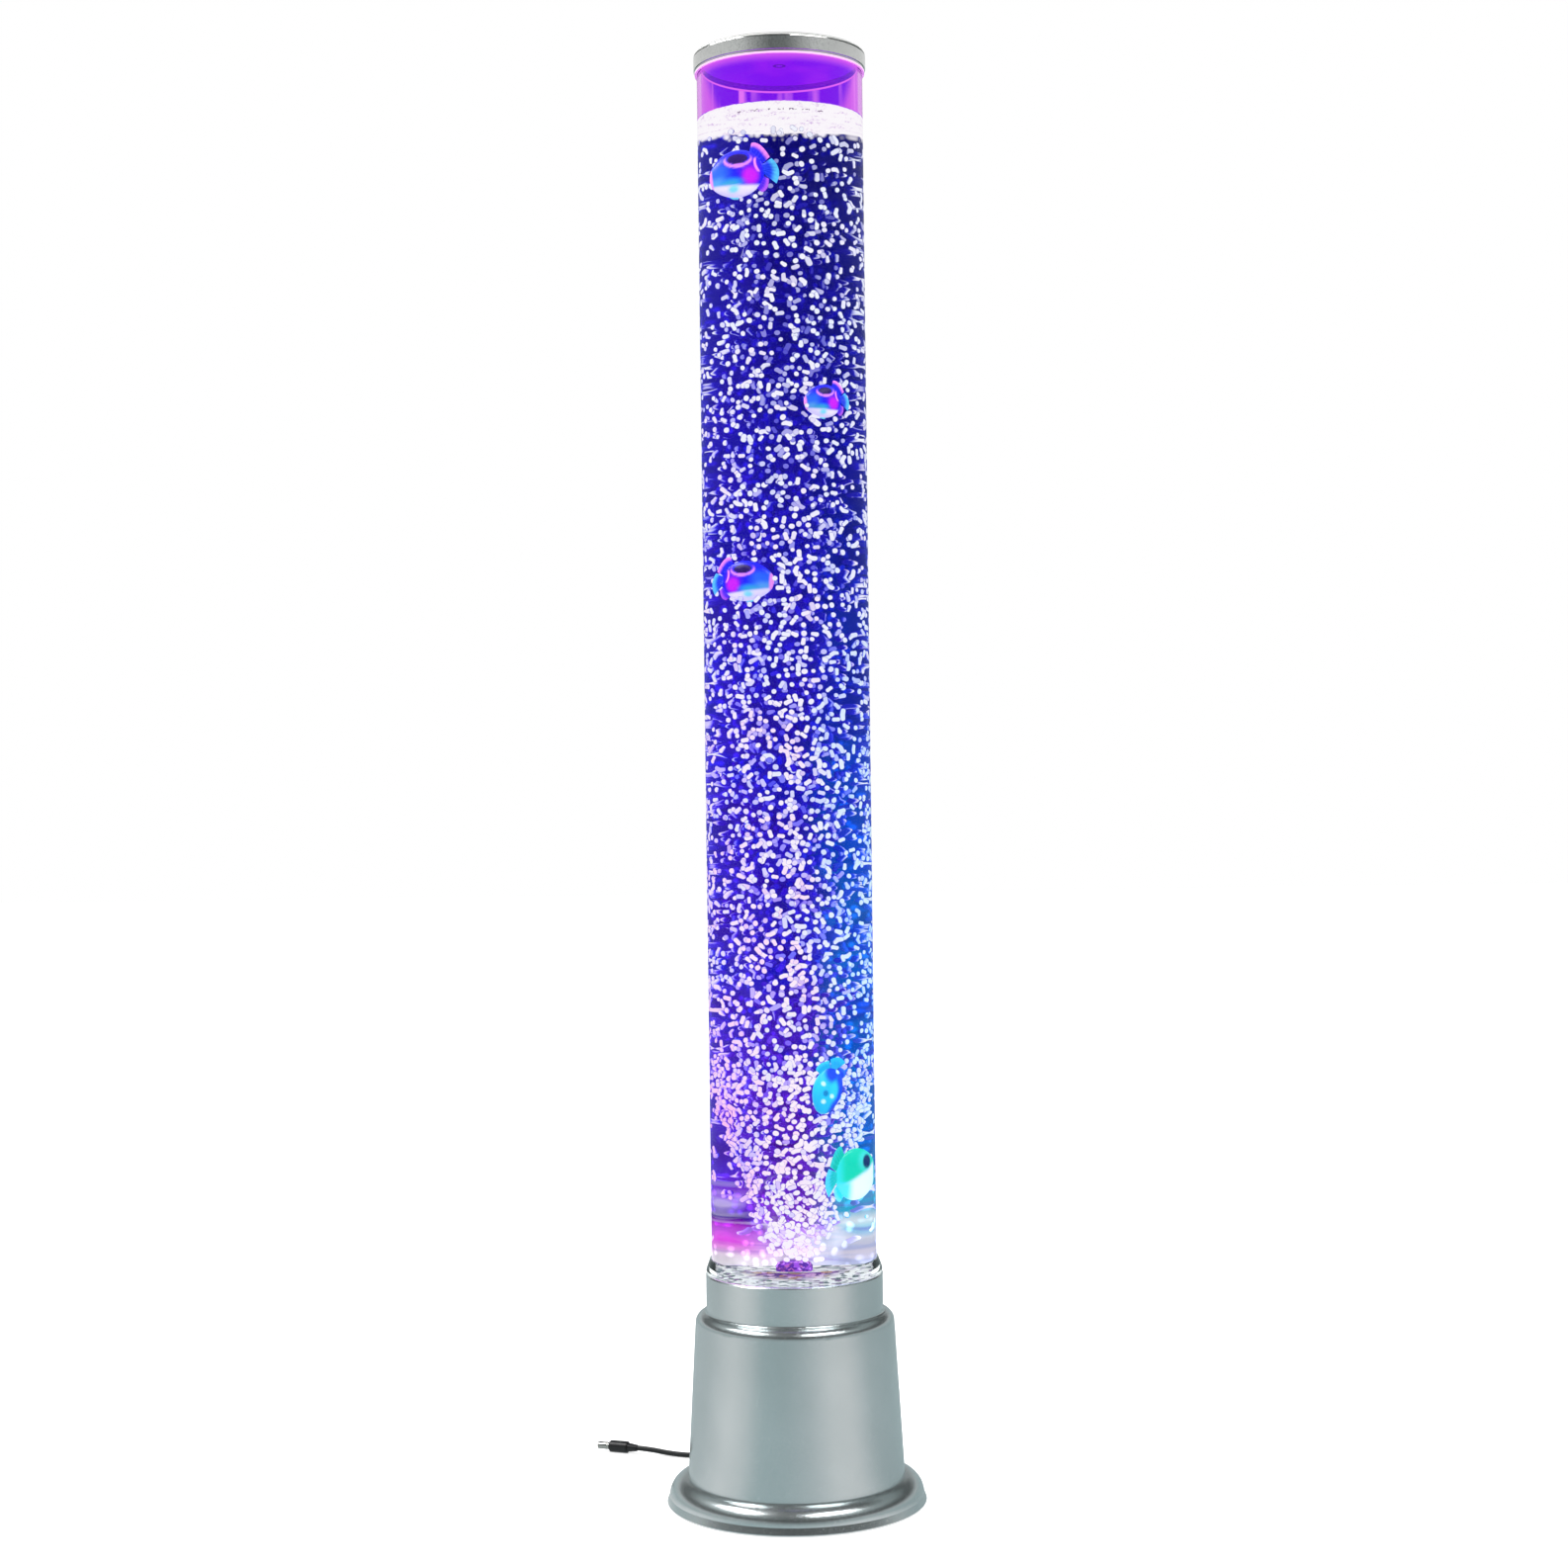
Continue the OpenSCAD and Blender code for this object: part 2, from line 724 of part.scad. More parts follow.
module pump_mounts() {
    color("black") translate(pump_at) four(pump_l / 2 - mount_in, pump_w / 2 - mount_in)
        disc_at(mount_r, plate_top, pump_z);
}

module pump_head() {
    color("dimgray") translate(pump_at) difference() {
        union() {
            box(head_at - head_w / 2, head_at + head_w / 2, head_y, head_y + head_d,
                arm_z - arm_h, arm_z + arm_h);
            translate([head_at, head_outlet_y, 0]) disc_at(barb_r, arm_z, pump_top + barb_l);
        }
        translate([head_at, head_outlet_y, 0]) disc_at(air_bore_r, arm_z, pump_top + barb_l + cut);
        translate([head_at, 0, arm_z]) rod_y(chamber_r, head_y - cut, head_y + 2);
        translate([head_at, 0, arm_z]) rod_y(air_bore_r, head_y, head_outlet_y + air_bore_r / 2);
    }
}

module pump_diaphragm() {
    color("black") translate(pump_at) translate([head_at, 0, arm_z]) {
        rod_y(diaphragm_r, head_y - diaphragm_t, head_y);
        rod_y(hub_r, arm_t / 2 + diaphragm_gap, head_y - diaphragm_t + touch_gap);
    }
}

module pump_arm() {
    color("silver") translate(pump_at) difference() {
        union() {
            box(pivot_x, magnet_x, -arm_t / 2, arm_t / 2, arm_z - arm_h / 2, arm_z + arm_h / 2);
            translate([pivot_x, 0, 0]) disc_at(hub_r, arm_z - arm_h / 2, arm_z + arm_h / 2);
        }
        translate([pivot_x, 0, 0]) disc_at(pivot_r + pin_play, arm_z - arm_h, arm_z + arm_h);
    }
}

module pump_magnet() {
    color("dimgray") translate(pump_at) box(magnet_x, magnet_x + magnet[0], -magnet[1] / 2,
        magnet[1] / 2, arm_z - magnet[2] / 2, arm_z + magnet[2] / 2);
}

module pump_pivot_pin() {
    color("silver") translate(pump_at) translate([pivot_x, 0, 0])
        disc_at(pivot_r, pump_z + pump_wall, pump_top - pump_wall - slip_gap);
}

module pump_core() {
    color("slategray") translate(pump_at) {
        difference() {
            box(core_x0, core_x1, -core_w / 2, core_w / 2, arm_z - core_h / 2, arm_z + core_h / 2);
            for (s = [-1, 1]) box(core_x0 - cut, core_x1 - core_back,
                min(s * core_leg, s * (core_w / 2 - core_leg)),
                max(s * core_leg, s * (core_w / 2 - core_leg)), arm_z - core_h, arm_z + core_h);
        }
    }
}

module pump_winding() {
    y = winding[1] / 2;
    z = winding[2] / 2;
    color("peru") translate(pump_at) difference() {
        box(winding_x, winding_x + winding[0], -y, y, arm_z - z, arm_z + z);
        box(winding_x - cut, winding_x + winding[0] + cut, -core_leg - glue_gap, core_leg + glue_gap,
            arm_z - core_h / 2 - glue_gap, arm_z + core_h / 2 + glue_gap);
    }
}

// ---- Lights and controls ----

module light_board() {
    color("white") difference() {
        ring(light_hole_r, led_board_r, light_z, light_z + light_t);
        around(3, light_screw_at, 90)
            disc_at(screw_r + slip_gap, light_z - cut, light_z + light_t + cut);
    }
}

module light_lamps() {
    z = light_z + light_t;
    color("lightyellow") {
        around(led_outer_n, lamp_outer_at, 15) translate([-lamp[0] / 2, -lamp[1] / 2, z]) cube(lamp);
        around(led_inner_n, lamp_inner_at) translate([-lamp[0] / 2, -lamp[1] / 2, z]) cube(lamp);
    }
}

module light_screws() {
    color("dimgray") around(3, light_screw_at, 90) translate([0, 0, light_z + light_t])
        mirror([0, 0, 1]) screw_up(screw_r, light_boss_h, screw_head_r, screw_head_t);
}

module control_board() {
    color("darkgreen") difference() {
        box(-board_w / 2, board_w / 2, board_in_y, board_y, button_z - board_h / 2,
            button_z + board_h / 2);
        board_bosses_at() rod_y(board_screw_r + slip_gap, board_in_y - cut, board_y + cut);
    }
}

module board_parts() {
    color("dimgray") {
        for (s = sockets) translate([s[0] - socket[0] / 2, board_in_y - socket[1],
            button_z + s[1] - socket[2] / 2]) cube(socket);
        translate([-10, 0, button_z + 8]) rod_y(capacitor[0], board_in_y - capacitor[1], board_in_y);
        translate([0, board_in_y - chip[1], button_z - 6]) cube(chip);
    }
}

module board_screws() {
    color("silver") board_bosses_at() {
        rod_y(small_head_r, board_in_y - small_head_t, board_in_y);
        rod_y(board_screw_r, board_in_y - touch_gap, board_y + board_screw_l - cut);
    }
}

module mode_switch() {
    color("dimgray") translate([0, 0, button_z]) {
        box(-switch_body[0] / 2, switch_body[0] / 2, board_y, board_y + switch_body[1],
            -switch_body[2] / 2, switch_body[2] / 2);
        rod_y(switch_plunger[0], board_y + switch_body[1] - touch_gap, switch_tip_y);
    }
}

module mode_button() {
    color("gray") translate([0, 0, button_z]) {
        rod_y(button_r, button_flange_y - cut, body_r(button_z) + button_proud);
        rod_y(button_r + 1.5, button_flange_y - button_flange_t, button_flange_y);
        rod_y(button_stem_r, button_flange_y - button_flange_t - button_stem_l, button_flange_y);
    }
}

module light_wires() {
    x = sockets[0][0];
    y = board_in_y - socket[1] - glue_gap;
    z = button_z + sockets[0][1];
    top = light_z - glue_gap;
    color("crimson") sweep([[x, y, z], [x, y - 3, z], [x, y - 10, z + 5], [x, y - 14, z + 14],
        [x, 32, top - 17], [x, 29, top - 9], [x, 28, top - 4], [x, 28, top]], wire_r, 8, [1, 0, 0]);
}

module pump_wires() {
    y = board_in_y - socket[1] - glue_gap;
    z = button_z + sockets[1][1];
    end = pump_at + [cable_hole[0], cable_hole[1], 0];
    color("crimson") sweep([[sockets[1][0], y, z], [sockets[1][0], y - 3, z], [-11, y - 12, z - 1],
        [0, y - 21, pump_top + 11], [14, y - 30, pump_top + 9], [end[0] - 12, end[1] + 24, pump_top + 8],
        [end[0] - 4, end[1] + 12, pump_top + 7], [end[0] - 1, end[1] + 4, pump_top + 4.5],
        [end[0], end[1] + 0.6, pump_top + 1.5], [end[0], end[1], pump_top - 3]], wire_r, 8, [1, 0.2, 0]);
}

module lead_wires() {
    y0 = relief_in_y - relief_flange_t - glue_gap;
    y1 = board_in_y - socket[1] - glue_gap;
    z1 = button_z + sockets[2][1];
    color("black") sweep([[0, y0, lead_z], [0, y0 - 6, lead_z + 0.6], [0, y0 - 13, lead_z + 4],
        [0, y1 - 1, lead_z + 11], [0, y1 - 5, lead_z + 17], [0, y1 - 6, z1 - 5],
        [0, y1 - 3, z1], [0, y1, z1]], wire_r, 8, [1, 0, 0]);
}

// ---- Lead ----

module strain_relief() {
    color("black") translate([0, 0, lead_z]) {
        rod_y(relief_flange_r, relief_in_y - relief_flange_t, relief_in_y);
        rod_y(relief_r, relief_in_y - cut, relief_out_y + cut);
        rod_y(relief_flange_r, relief_out_y, relief_out_y + 1.5);
        translate([0, relief_out_y + 1, 0]) rotate([-90, 0, 0])
            cylinder(r1 = relief_r, r2 = relief_tip_r, h = run_path[0][1] - relief_out_y - 1);
    }
}

module lead_run() {
    color("black") sweep(run_path, lead_d / 2, 8, [1, 0, 0]);
}

// Place of the lead in the coil after u turns: radius, angle and height
function coil_drop(u) = let (s = min(max((u - coil_mid + 0.25) / 0.5, 0), 1)) s * s * (3 - 2 * s);
function coil_point(u) =
    let (r = coil_r - coil_pitch * (coil_mid - abs(u - coil_mid)), a = 180 - 360 * u)
    [coil_at[0] + r * cos(a), coil_at[1] + r * sin(a), coil_top - coil_pitch * coil_drop(u)];
coil_path = concat([coil_point(0) - [0, lead_d, 0]],
    [for (i = [0:coil_turns * coil_steps]) coil_point(i / coil_steps)],
    [coil_point(coil_turns) - [lead_d, 0, 0]]);
coil_gap = min([for (i = [0:len(coil_path) - 1], j = [i + 8:len(coil_path) - 1])
    if (j < len(coil_path)) norm(coil_path[i] - coil_path[j])]) - lead_d;
echo(coil_least_gap = coil_gap);

module lead_coil() {
    color("black") sweep(coil_path, lead_d / 2, 6);
}

module lead_tail() {
    color("black") sweep(tail_path, lead_d / 2, 8);
}

module coil_tie() {
    r0 = coil_r - coil_pitch * coil_mid - lead_d / 2 - tie_gap;
    r1 = coil_r + lead_d / 2 + tie_gap;
    z0 = coil_low - lead_d / 2 + tie_gap / 2;
    z1 = coil_top + lead_d / 2 + tie_gap / 2;
    color("black") translate([coil_at[0], coil_at[1], 0]) difference() {
        box(r0 - tie_t, r1 + tie_t, -tie_w / 2, tie_w / 2, z0 - tie_t, z1 + tie_t);
        box(r0, r1, -tie_w, tie_w, z0, z1);
    }
}

module along_plug() {
    translate(tail_path[len(tail_path) - 1]) rotate([0, 0, plug_turn]) rotate([0, 90, 0]) children();
}

module plug_body() {
    color("black") along_plug() {
        cylinder(r1 = lead_d / 2 + 0.5, r2 = plug_body_r - 1, h = plug_neck_l);
        translate([0, 0, plug_neck_l - touch_gap]) cylinder(r = plug_body_r, h = plug_body_l - chamfer);
        translate([0, 0, plug_neck_l + plug_body_l - chamfer - 2 * touch_gap])
            cylinder(r = plug_body_r - chamfer, h = chamfer);
    }
}

module plug_barrel() {
    color("silver") along_plug() translate([0, 0, plug_neck_l + plug_body_l - touch_gap]) difference() {
        cylinder(r = barrel_r, h = barrel_l);
        translate([0, 0, 1]) cylinder(r = barrel_bore_r, h = barrel_l);
    }
}

// ---- Fish ----

// Half height and half thickness along the body, from the nose at u = 0 to the tail root
function fish_half_h(u) = 0.1 + 0.9 * sqrt(sin(180 * pow(u, 1.15)));
function fish_half_t(u) = 0.12 + 0.88 * sin(180 * pow(u, 0.7));
fish_rings = 9;
fish_sides = 12;
fin_t = 1.6;

module fish_body(l, h, t) {
    n = fish_rings;
    m = fish_sides;
    us = [for (i = [0:n - 1]) 0.01 + 0.98 * i / (n - 1)];
    pts = [for (u = us, k = [0:m - 1])
        [l * (0.5 - 0.78 * u), t / 2 * fish_half_t(u) * cos(360 * k / m),
            0.42 * h * fish_half_h(u) * sin(360 * k / m)]];
    skin = [for (i = [0:n - 2], k = [0:m - 1]) let (a = i * m + k, b = i * m + (k + 1) % m)
        each [[a, b, a + m], [b, b + m, a + m]]];
    caps = [for (k = [1:m - 2]) each [[0, k + 1, k], [(n - 1) * m, (n - 1) * m + k, (n - 1) * m + k + 1]]];
    polyhedron(pts, concat(skin, caps));
}

module fish_fin(points, l, h) {
    rotate([90, 0, 0]) linear_extrude(fin_t, center = true)
        polygon([for (p = points) [p[0] * l, p[1] * h]]);
}

module fish_shape(l, h) {
    fish_body(l, h, fish_t);
    fish_fin([[-0.24, 0.06], [-0.42, 0.16], [-0.48, -0.06], [-0.42, -0.32], [-0.24, -0.06]], l, h);
    fish_fin([[-0.12, 0.3], [-0.16, 0.5], [-0.25, 0.48], [-0.39, 0.18], [-0.24, 0.05]], l, h);
    fish_fin([[-0.12, -0.28], [-0.2, -0.42], [-0.31, -0.36], [-0.33, -0.18], [-0.22, -0.08]], l, h);
    fish_fin([[0.24, -0.22], [0.24, -0.38], [0.13, -0.46], [0.08, -0.34]], l, h);
}

// A fish hangs in direction az from the axis, as near to the tube as its length allows
function fish_out(l, h, az, turn, dip) =
    let (half = (l * abs(cos(dip)) + h * abs(sin(dip))) / 2, d = az - turn, far = tube_ir - fish_room)
    min(sqrt(pow(far, 2) - pow(half * sin(d), 2)) - half * abs(cos(d)), far - fish_t / 2);

module fish(l, h, z, az, turn, dip) {
    out = fish_out(l, h, az, turn, dip);
    translate([out * cos(az), out * sin(az), z]) rotate([0, 0, turn]) rotate([0, dip, 0])
        fish_shape(l, h);
}

module fish_top_left() {
    color("royalblue") fish(fish_1_len, fish_1_h, water_z - fish_1_deep, 232, 162, 8);
}

module fish_upper_right() {
    color("royalblue") fish(fish_2_len, fish_2_h, water_z - fish_2_deep, 311, 195, 8);
}

module fish_mid_left() {
    color("royalblue") fish(fish_3_len, fish_3_h, water_z - fish_3_deep, 224, 338, 4);
}

module fish_low_right() {
    color("deepskyblue") fish(fish_4_len, fish_4_h, floor_top + fish_4_up, 300, 214, 72);
}

module fish_bottom_right() {
    color("turquoise") fish(fish_5_len, fish_5_h, floor_top + fish_5_up, 327, 47, 0);
}

base_housing();
tube_collar();
collar_screws();
bottom_plate();
plate_screws();
rubber_feet();
clear_tube();
tube_foot_ring();
tank_floor();
floor_seal();
lid();
lid_seal();
fill_plug();
air_stone();
air_fitting();
fitting_seal();
fitting_nut();
upper_hose();
valve_body();
valve_disc();
lower_hose();
pump_case();
pump_cover();
pump_screws();
pump_mounts();
pump_head();
pump_diaphragm();
pump_arm();
pump_magnet();
pump_pivot_pin();
pump_core();
pump_winding();
light_board();
light_lamps();
light_screws();
control_board();
board_parts();
board_screws();
mode_switch();
mode_button();
light_wires();
pump_wires();
lead_wires();
strain_relief();
lead_run();
lead_coil();
lead_tail();
coil_tie();
plug_body();
plug_barrel();
fish_top_left();
fish_upper_right();
fish_mid_left();
fish_low_right();
fish_bottom_right();
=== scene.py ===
import json
import math
from functools import partial
import bmesh
import bpy
import numpy as np
from mathutils import Matrix, Vector


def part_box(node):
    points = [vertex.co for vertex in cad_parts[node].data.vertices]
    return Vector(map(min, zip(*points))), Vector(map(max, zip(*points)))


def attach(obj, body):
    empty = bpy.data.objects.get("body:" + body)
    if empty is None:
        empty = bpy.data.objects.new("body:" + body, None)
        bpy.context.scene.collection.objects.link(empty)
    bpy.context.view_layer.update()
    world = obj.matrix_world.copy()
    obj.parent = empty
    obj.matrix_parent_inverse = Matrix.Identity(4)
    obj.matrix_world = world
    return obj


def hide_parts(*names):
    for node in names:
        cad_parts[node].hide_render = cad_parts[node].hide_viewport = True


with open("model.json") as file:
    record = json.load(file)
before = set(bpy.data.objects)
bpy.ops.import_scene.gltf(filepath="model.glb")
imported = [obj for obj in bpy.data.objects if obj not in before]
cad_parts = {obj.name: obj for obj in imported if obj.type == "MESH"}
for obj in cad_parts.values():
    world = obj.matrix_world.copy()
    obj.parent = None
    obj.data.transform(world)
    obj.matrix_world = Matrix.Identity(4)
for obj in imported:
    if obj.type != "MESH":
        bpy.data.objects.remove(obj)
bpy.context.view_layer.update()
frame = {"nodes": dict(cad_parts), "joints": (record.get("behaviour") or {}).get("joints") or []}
nodes = frame["nodes"]
scene = bpy.context.scene
mm = 0.001
print("frame loaded with", len(nodes), "nodes")

# small tools: node trees and meshes

def linearColour(code):  # "#rrggbb" as seen on screen, turned to linear light
    parts = [int(code[k:k + 2], 16) / 255 for k in (1, 3, 5)]
    return [c / 12.92 if c < 0.04045 else ((c + 0.055) / 1.055) ** 2.4 for c in parts] + [1.0]

def addNode(tree, kind, inputs=None, **settings):
    node = tree.nodes.new("ShaderNode" + kind)
    if kind == "Mix" and 6 in inputs:  # inputs 6 and 7 are the two colours
        node.data_type = "RGBA"
    for name, value in settings.items():
        setattr(node, name, value)
    inputs = dict(inputs or {})
    for word in ("From", "To"):  # the two ends of a range
        if word in inputs:
            inputs[word + " Min"], inputs[word + " Max"] = inputs.pop(word)
    for name, value in inputs.items():
        if isinstance(value, bpy.types.Node):  # a node stands for its first output in use
            value = next(output for output in value.outputs if output.enabled)
        if isinstance(value, bpy.types.NodeSocket):
            tree.links.new(value, node.inputs[name])
        elif isinstance(value, str):
            node.inputs[name].default_value = linearColour(value)
        else:
            node.inputs[name].default_value = value
    return node

def setStops(node, stops, interpolation="LINEAR"):  # stops is a list of (place, colour)
    ramp = node.color_ramp
    ramp.interpolation = interpolation
    while len(ramp.elements) < len(stops):
        ramp.elements.new(0.5)
    for element, (place, colour) in zip(ramp.elements, stops):
        element.position = place
        element.color = linearColour(colour)
    return node

def startMaterial(name):  # the material, its node adder and its object coordinates
    made = bpy.data.materials.new(name)
    made.use_nodes = True
    made.node_tree.nodes.clear()
    add = partial(addNode, made.node_tree)
    return made, add, add("TexCoord").outputs["Object"]

def showShader(add, shader):
    add("OutputMaterial", {"Surface": shader})

def fromAxisOf(add, x, y):  # distance from the lamp's axis
    flat = add("CombineXYZ", {"X": x, "Y": y})
    return add("VectorMath", {0: flat}, operation="LENGTH")

def showGlass(add, glassy):  # clear acrylic that lets lamp light straight through
    rays = add("LightPath").outputs["Is Shadow Ray"]
    showShader(add, add("MixShader", {0: rays, 1: glassy, 2: add("BsdfTransparent")}))

def showOverClear(add, share, shader):
    showShader(add, add("MixShader", {0: share, 1: add("BsdfTransparent"), 2: shader}))

def seenStraight(add):  # 1 where the camera looks at something, also through glass
    rays = add("LightPath")
    return add("Math", {0: rays.outputs["Is Camera Ray"], 1: rays.outputs["Is Transmission Ray"]},
        operation="MAXIMUM")

def dress(material, *names):
    for name in names:
        for slot in nodes[name].material_slots:
            slot.material = material

def makePiece(name, points, faces, material, body, merge=True, colours=None):
    mesh = bpy.data.meshes.new(name)
    mesh.from_pydata(np.asarray(points, float).tolist(), [], [list(f) for f in faces])
    if colours is not None:
        layer = mesh.color_attributes.new("paint", "FLOAT_COLOR", "POINT")
        rgba = np.ones((len(colours), 4), np.float32)
        rgba[:, :3] = colours
        layer.data.foreach_set("color", rgba.ravel())
    if merge:  # closes seams and poles
        work = bmesh.new()
        work.from_mesh(mesh)
        bmesh.ops.remove_doubles(work, verts=work.verts, dist=1e-6)
        work.to_mesh(mesh)
        work.free()
    mesh.polygons.foreach_set("use_smooth", np.ones(len(mesh.polygons), bool))
    mesh.materials.append(material)
    piece = bpy.data.objects.new(name, mesh)
    scene.collection.objects.link(piece)
    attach(piece, body)
    return piece

def gridFaces(rows, cols, closedCols=True):
    # quads between neighbouring rows and columns of a grid, columns wrapping round
    i, j = np.meshgrid(np.arange(rows - 1), np.arange(cols if closedCols else cols - 1), indexing="ij")
    a, b = i * cols + j, i * cols + (j + 1) % cols
    return np.stack([a, b, b + cols, a + cols], -1).reshape(-1, 4)

def turned(profile, sides):
    # surface of revolution: each (radius, height) of the profile is carried round +Z
    profile = np.asarray(profile, float)
    turn = np.arange(sides) * 2 * np.pi / sides
    x = profile[:, :1] * np.cos(turn)
    y = profile[:, :1] * np.sin(turn)
    z = np.repeat(profile[:, 1:], sides, 1)
    return np.stack([x, y, z], -1).reshape(-1, 3), gridFaces(len(profile), sides)

def carried(path, radius, sides):
    # circle carried square to a path that is never quite vertical
    path = np.asarray(path, float)
    tangent = np.gradient(path, axis=0)
    tangent /= np.linalg.norm(tangent, axis=1, keepdims=True)
    side = np.cross(tangent, [0, 0, 1])
    side /= np.linalg.norm(side, axis=1, keepdims=True)
    top = np.cross(side, tangent)
    turn = np.arange(sides) * 2 * np.pi / sides
    ring = side[:, None] * np.cos(turn)[:, None] + top[:, None] * np.sin(turn)[:, None]
    return (path[:, None] + ring * radius).reshape(-1, 3), gridFaces(len(path), sides)

# camera

cameraSetup = {
    "imagePixels": 1586,
    "focalPixels": 2638,
    "distance": 1.895,
    "height": 0.5344,
    "aside": -0.0031,
    "pitch": 0.396,  # degrees down
    "roll": 0.72,  # degrees, the lamp's top leans left in the picture
}
cameraData = bpy.data.cameras.new("camera")
camera = bpy.data.objects.new("camera", cameraData)
scene.collection.objects.link(camera)
scene.camera = camera
cameraData.sensor_width = 36
cameraData.lens = cameraSetup["focalPixels"] / cameraSetup["imagePixels"] * 36
pitch, roll = math.radians(cameraSetup["pitch"]), math.radians(cameraSetup["roll"])
camera.location = (cameraSetup["aside"], -cameraSetup["distance"], cameraSetup["height"])
camera.rotation_mode = "XYZ"
camera.rotation_euler = (Matrix.Rotation(math.pi / 2 - pitch, 3, "X")
                         @ Matrix.Rotation(-roll, 3, "Z")).to_euler("XYZ")
print("camera placed")

# lead: from the strain relief down to the floor, a tied coil and a run to the plug

lead = {
    "diameter": 4.0,
    "sides": 12,
    "coilAt": (32, 148),
    "coilRadius": 32,
    "turns": 8.75,
    "pitch": 4.45,
    "lowLayer": 2.6,
    "pointsPerTurn": 48,
    "sheath": "#141416",
}
runPoints = [
    (0, 98, 33), (0, 102, 33), (0, 106, 32.8), (0, 110, 31.9), (0, 114, 30), (0, 117.5, 27.1),
    (0, 120.2, 23.6), (0, 122.6, 19.8), (0, 125.2, 15.8), (0, 128.3, 12.2), (0, 132, 9.4),
    (0, 136, 7.7), (0, 140, 7.05), (0, 144, 7.05),
]
tailPoints = [
    (28, 116, 2.6), (24, 116, 2.6), (12, 115.8, 2.2), (0, 115.5, 2.1), (-12, 115.2, 2.1),
    (-24, 115, 2.1), (-36, 115, 2.1), (-48, 115.3, 2.1), (-60, 116, 2.1), (-72, 117.5, 2.1),
    (-84, 120, 2.1), (-93, 122.6, 2.3), (-102, 125.4, 3), (-111, 128.5, 4), (-120, 131.55, 4.6),
    (-124, 133, 4.6),
]

def smoothRoute(points, steps):
    # cubic curve through every point, its tangent there along the line between the neighbours
    p = np.asarray(points, float)
    p = np.vstack([2 * p[0] - p[1], p, 2 * p[-1] - p[-2]])
    t = (np.arange(steps) / steps)[None, :, None]
    a, b, c, d = (p[k:len(p) - 3 + k, None] for k in range(4))
    curve = 0.5 * (2 * b + (c - a) * t + (2 * a - 5 * b + 4 * c - d) * t**2
                   + (3 * b - a - 3 * c + d) * t**3)
    return np.vstack([curve.reshape(-1, 3), p[-2]])

def coilRoute():
    # spiral in on the top layer, step down in half a turn, spiral out on the lower layer
    u = np.arange(0, lead["turns"] + 1e-9, 1 / lead["pointsPerTurn"])
    middle = lead["turns"] / 2
    s = np.clip((u - middle + 0.25) / 0.5, 0, 1)
    drop = s * s * (3 - 2 * s)
    r = lead["coilRadius"] - lead["pitch"] * (middle - np.abs(u - middle))
    a = np.radians(180 - 360 * u)
    z = lead["lowLayer"] + lead["pitch"] * (1 - drop)
    return np.stack([lead["coilAt"][0] + r * np.cos(a), lead["coilAt"][1] + r * np.sin(a), z], 1)

# flexible PVC: smooth and slightly glossy, with faint scuffs along it
cordPvc, add, coords = startMaterial("flexible PVC")
scuffs = add("TexNoise", {"Vector": coords, "Scale": 900.0, "Detail": 3.0})
sheen = add("MapRange", {"Value": scuffs, "To": (0.34, 0.52)})
grain = add("Bump", {"Height": scuffs, "Strength": 0.08, "Distance": 0.0002})
showShader(add, add("BsdfPrincipled", {"Base Color": lead["sheath"], "Roughness": sheen, "Normal": grain,
    "IOR": 1.53}))

leadRoute = np.vstack([smoothRoute(runPoints, 3)[:-1], coilRoute(), smoothRoute(tailPoints, 4)[1:]]) * mm
leadPoints, leadFaces = carried(leadRoute, lead["diameter"] / 2 * mm, lead["sides"])
leadEnds = [list(range(lead["sides"]))[::-1],
            list(range(len(leadPoints) - lead["sides"], len(leadPoints)))]
leadPiece = makePiece("lead", leadPoints, [*leadFaces, *leadEnds], cordPvc, "base", merge=False)
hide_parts("lead_run", "lead_coil", "lead_tail")
dress(cordPvc, "lead_wires", "coil_tie", "strain_relief", "plug_body")

# light in the water: one colour field that the water, bubbles and foam share

waterLight = {
    "levels": (0.165, 1.0),  # metres up, the colours below run between them
    "left": [
        (0.0, "#f2f0f4"), (0.011, "#f4e4f6"), (0.017, "#f494f0"), (0.024, "#de3ce6"), (0.03, "#ee68f2"),
        (0.036, "#b426dc"), (0.042, "#3c12a0"), (0.052, "#6a34dc"), (0.064, "#8a3ae6"),
        (0.075, "#4a1cc0"), (0.11, "#4620bc"), (0.16, "#4a22c4"), (0.25, "#3820bc"), (0.5, "#2c12b2"),
        (0.75, "#2010a8"), (1.0, "#190f9a")],
    "middle": [
        (0.0, "#ffffff"), (0.02, "#ece0fa"), (0.038, "#a878dc"), (0.065, "#5a1aa6"), (0.13, "#4a18a8"),
        (0.3, "#2412aa"), (0.55, "#1c0e9e"), (0.8, "#120888"), (1.0, "#0a0670")],
    "right": [
        (0.0, "#c4ccf2"), (0.014, "#c0c8f6"), (0.022, "#e4ecfc"), (0.03, "#7cc8f0"), (0.038, "#d4f6fa"),
        (0.048, "#2cb4dc"), (0.066, "#28bce0"), (0.085, "#1478c0"), (0.15, "#0c66c8"), (0.33, "#1058c4"),
        (0.5, "#0c2aa8"), (0.7, "#08088a"), (1.0, "#04046c")],
    "drift": 0.006,  # metres that the bands wander
    "bowl": 0.011,  # metres that the bands hang lower in the middle
    "behind": 0.021,  # how far aside the far wall's colours reach, drawn in by the round water
    "around": 0.05,  # how far aside the bubbles' colours reach
}

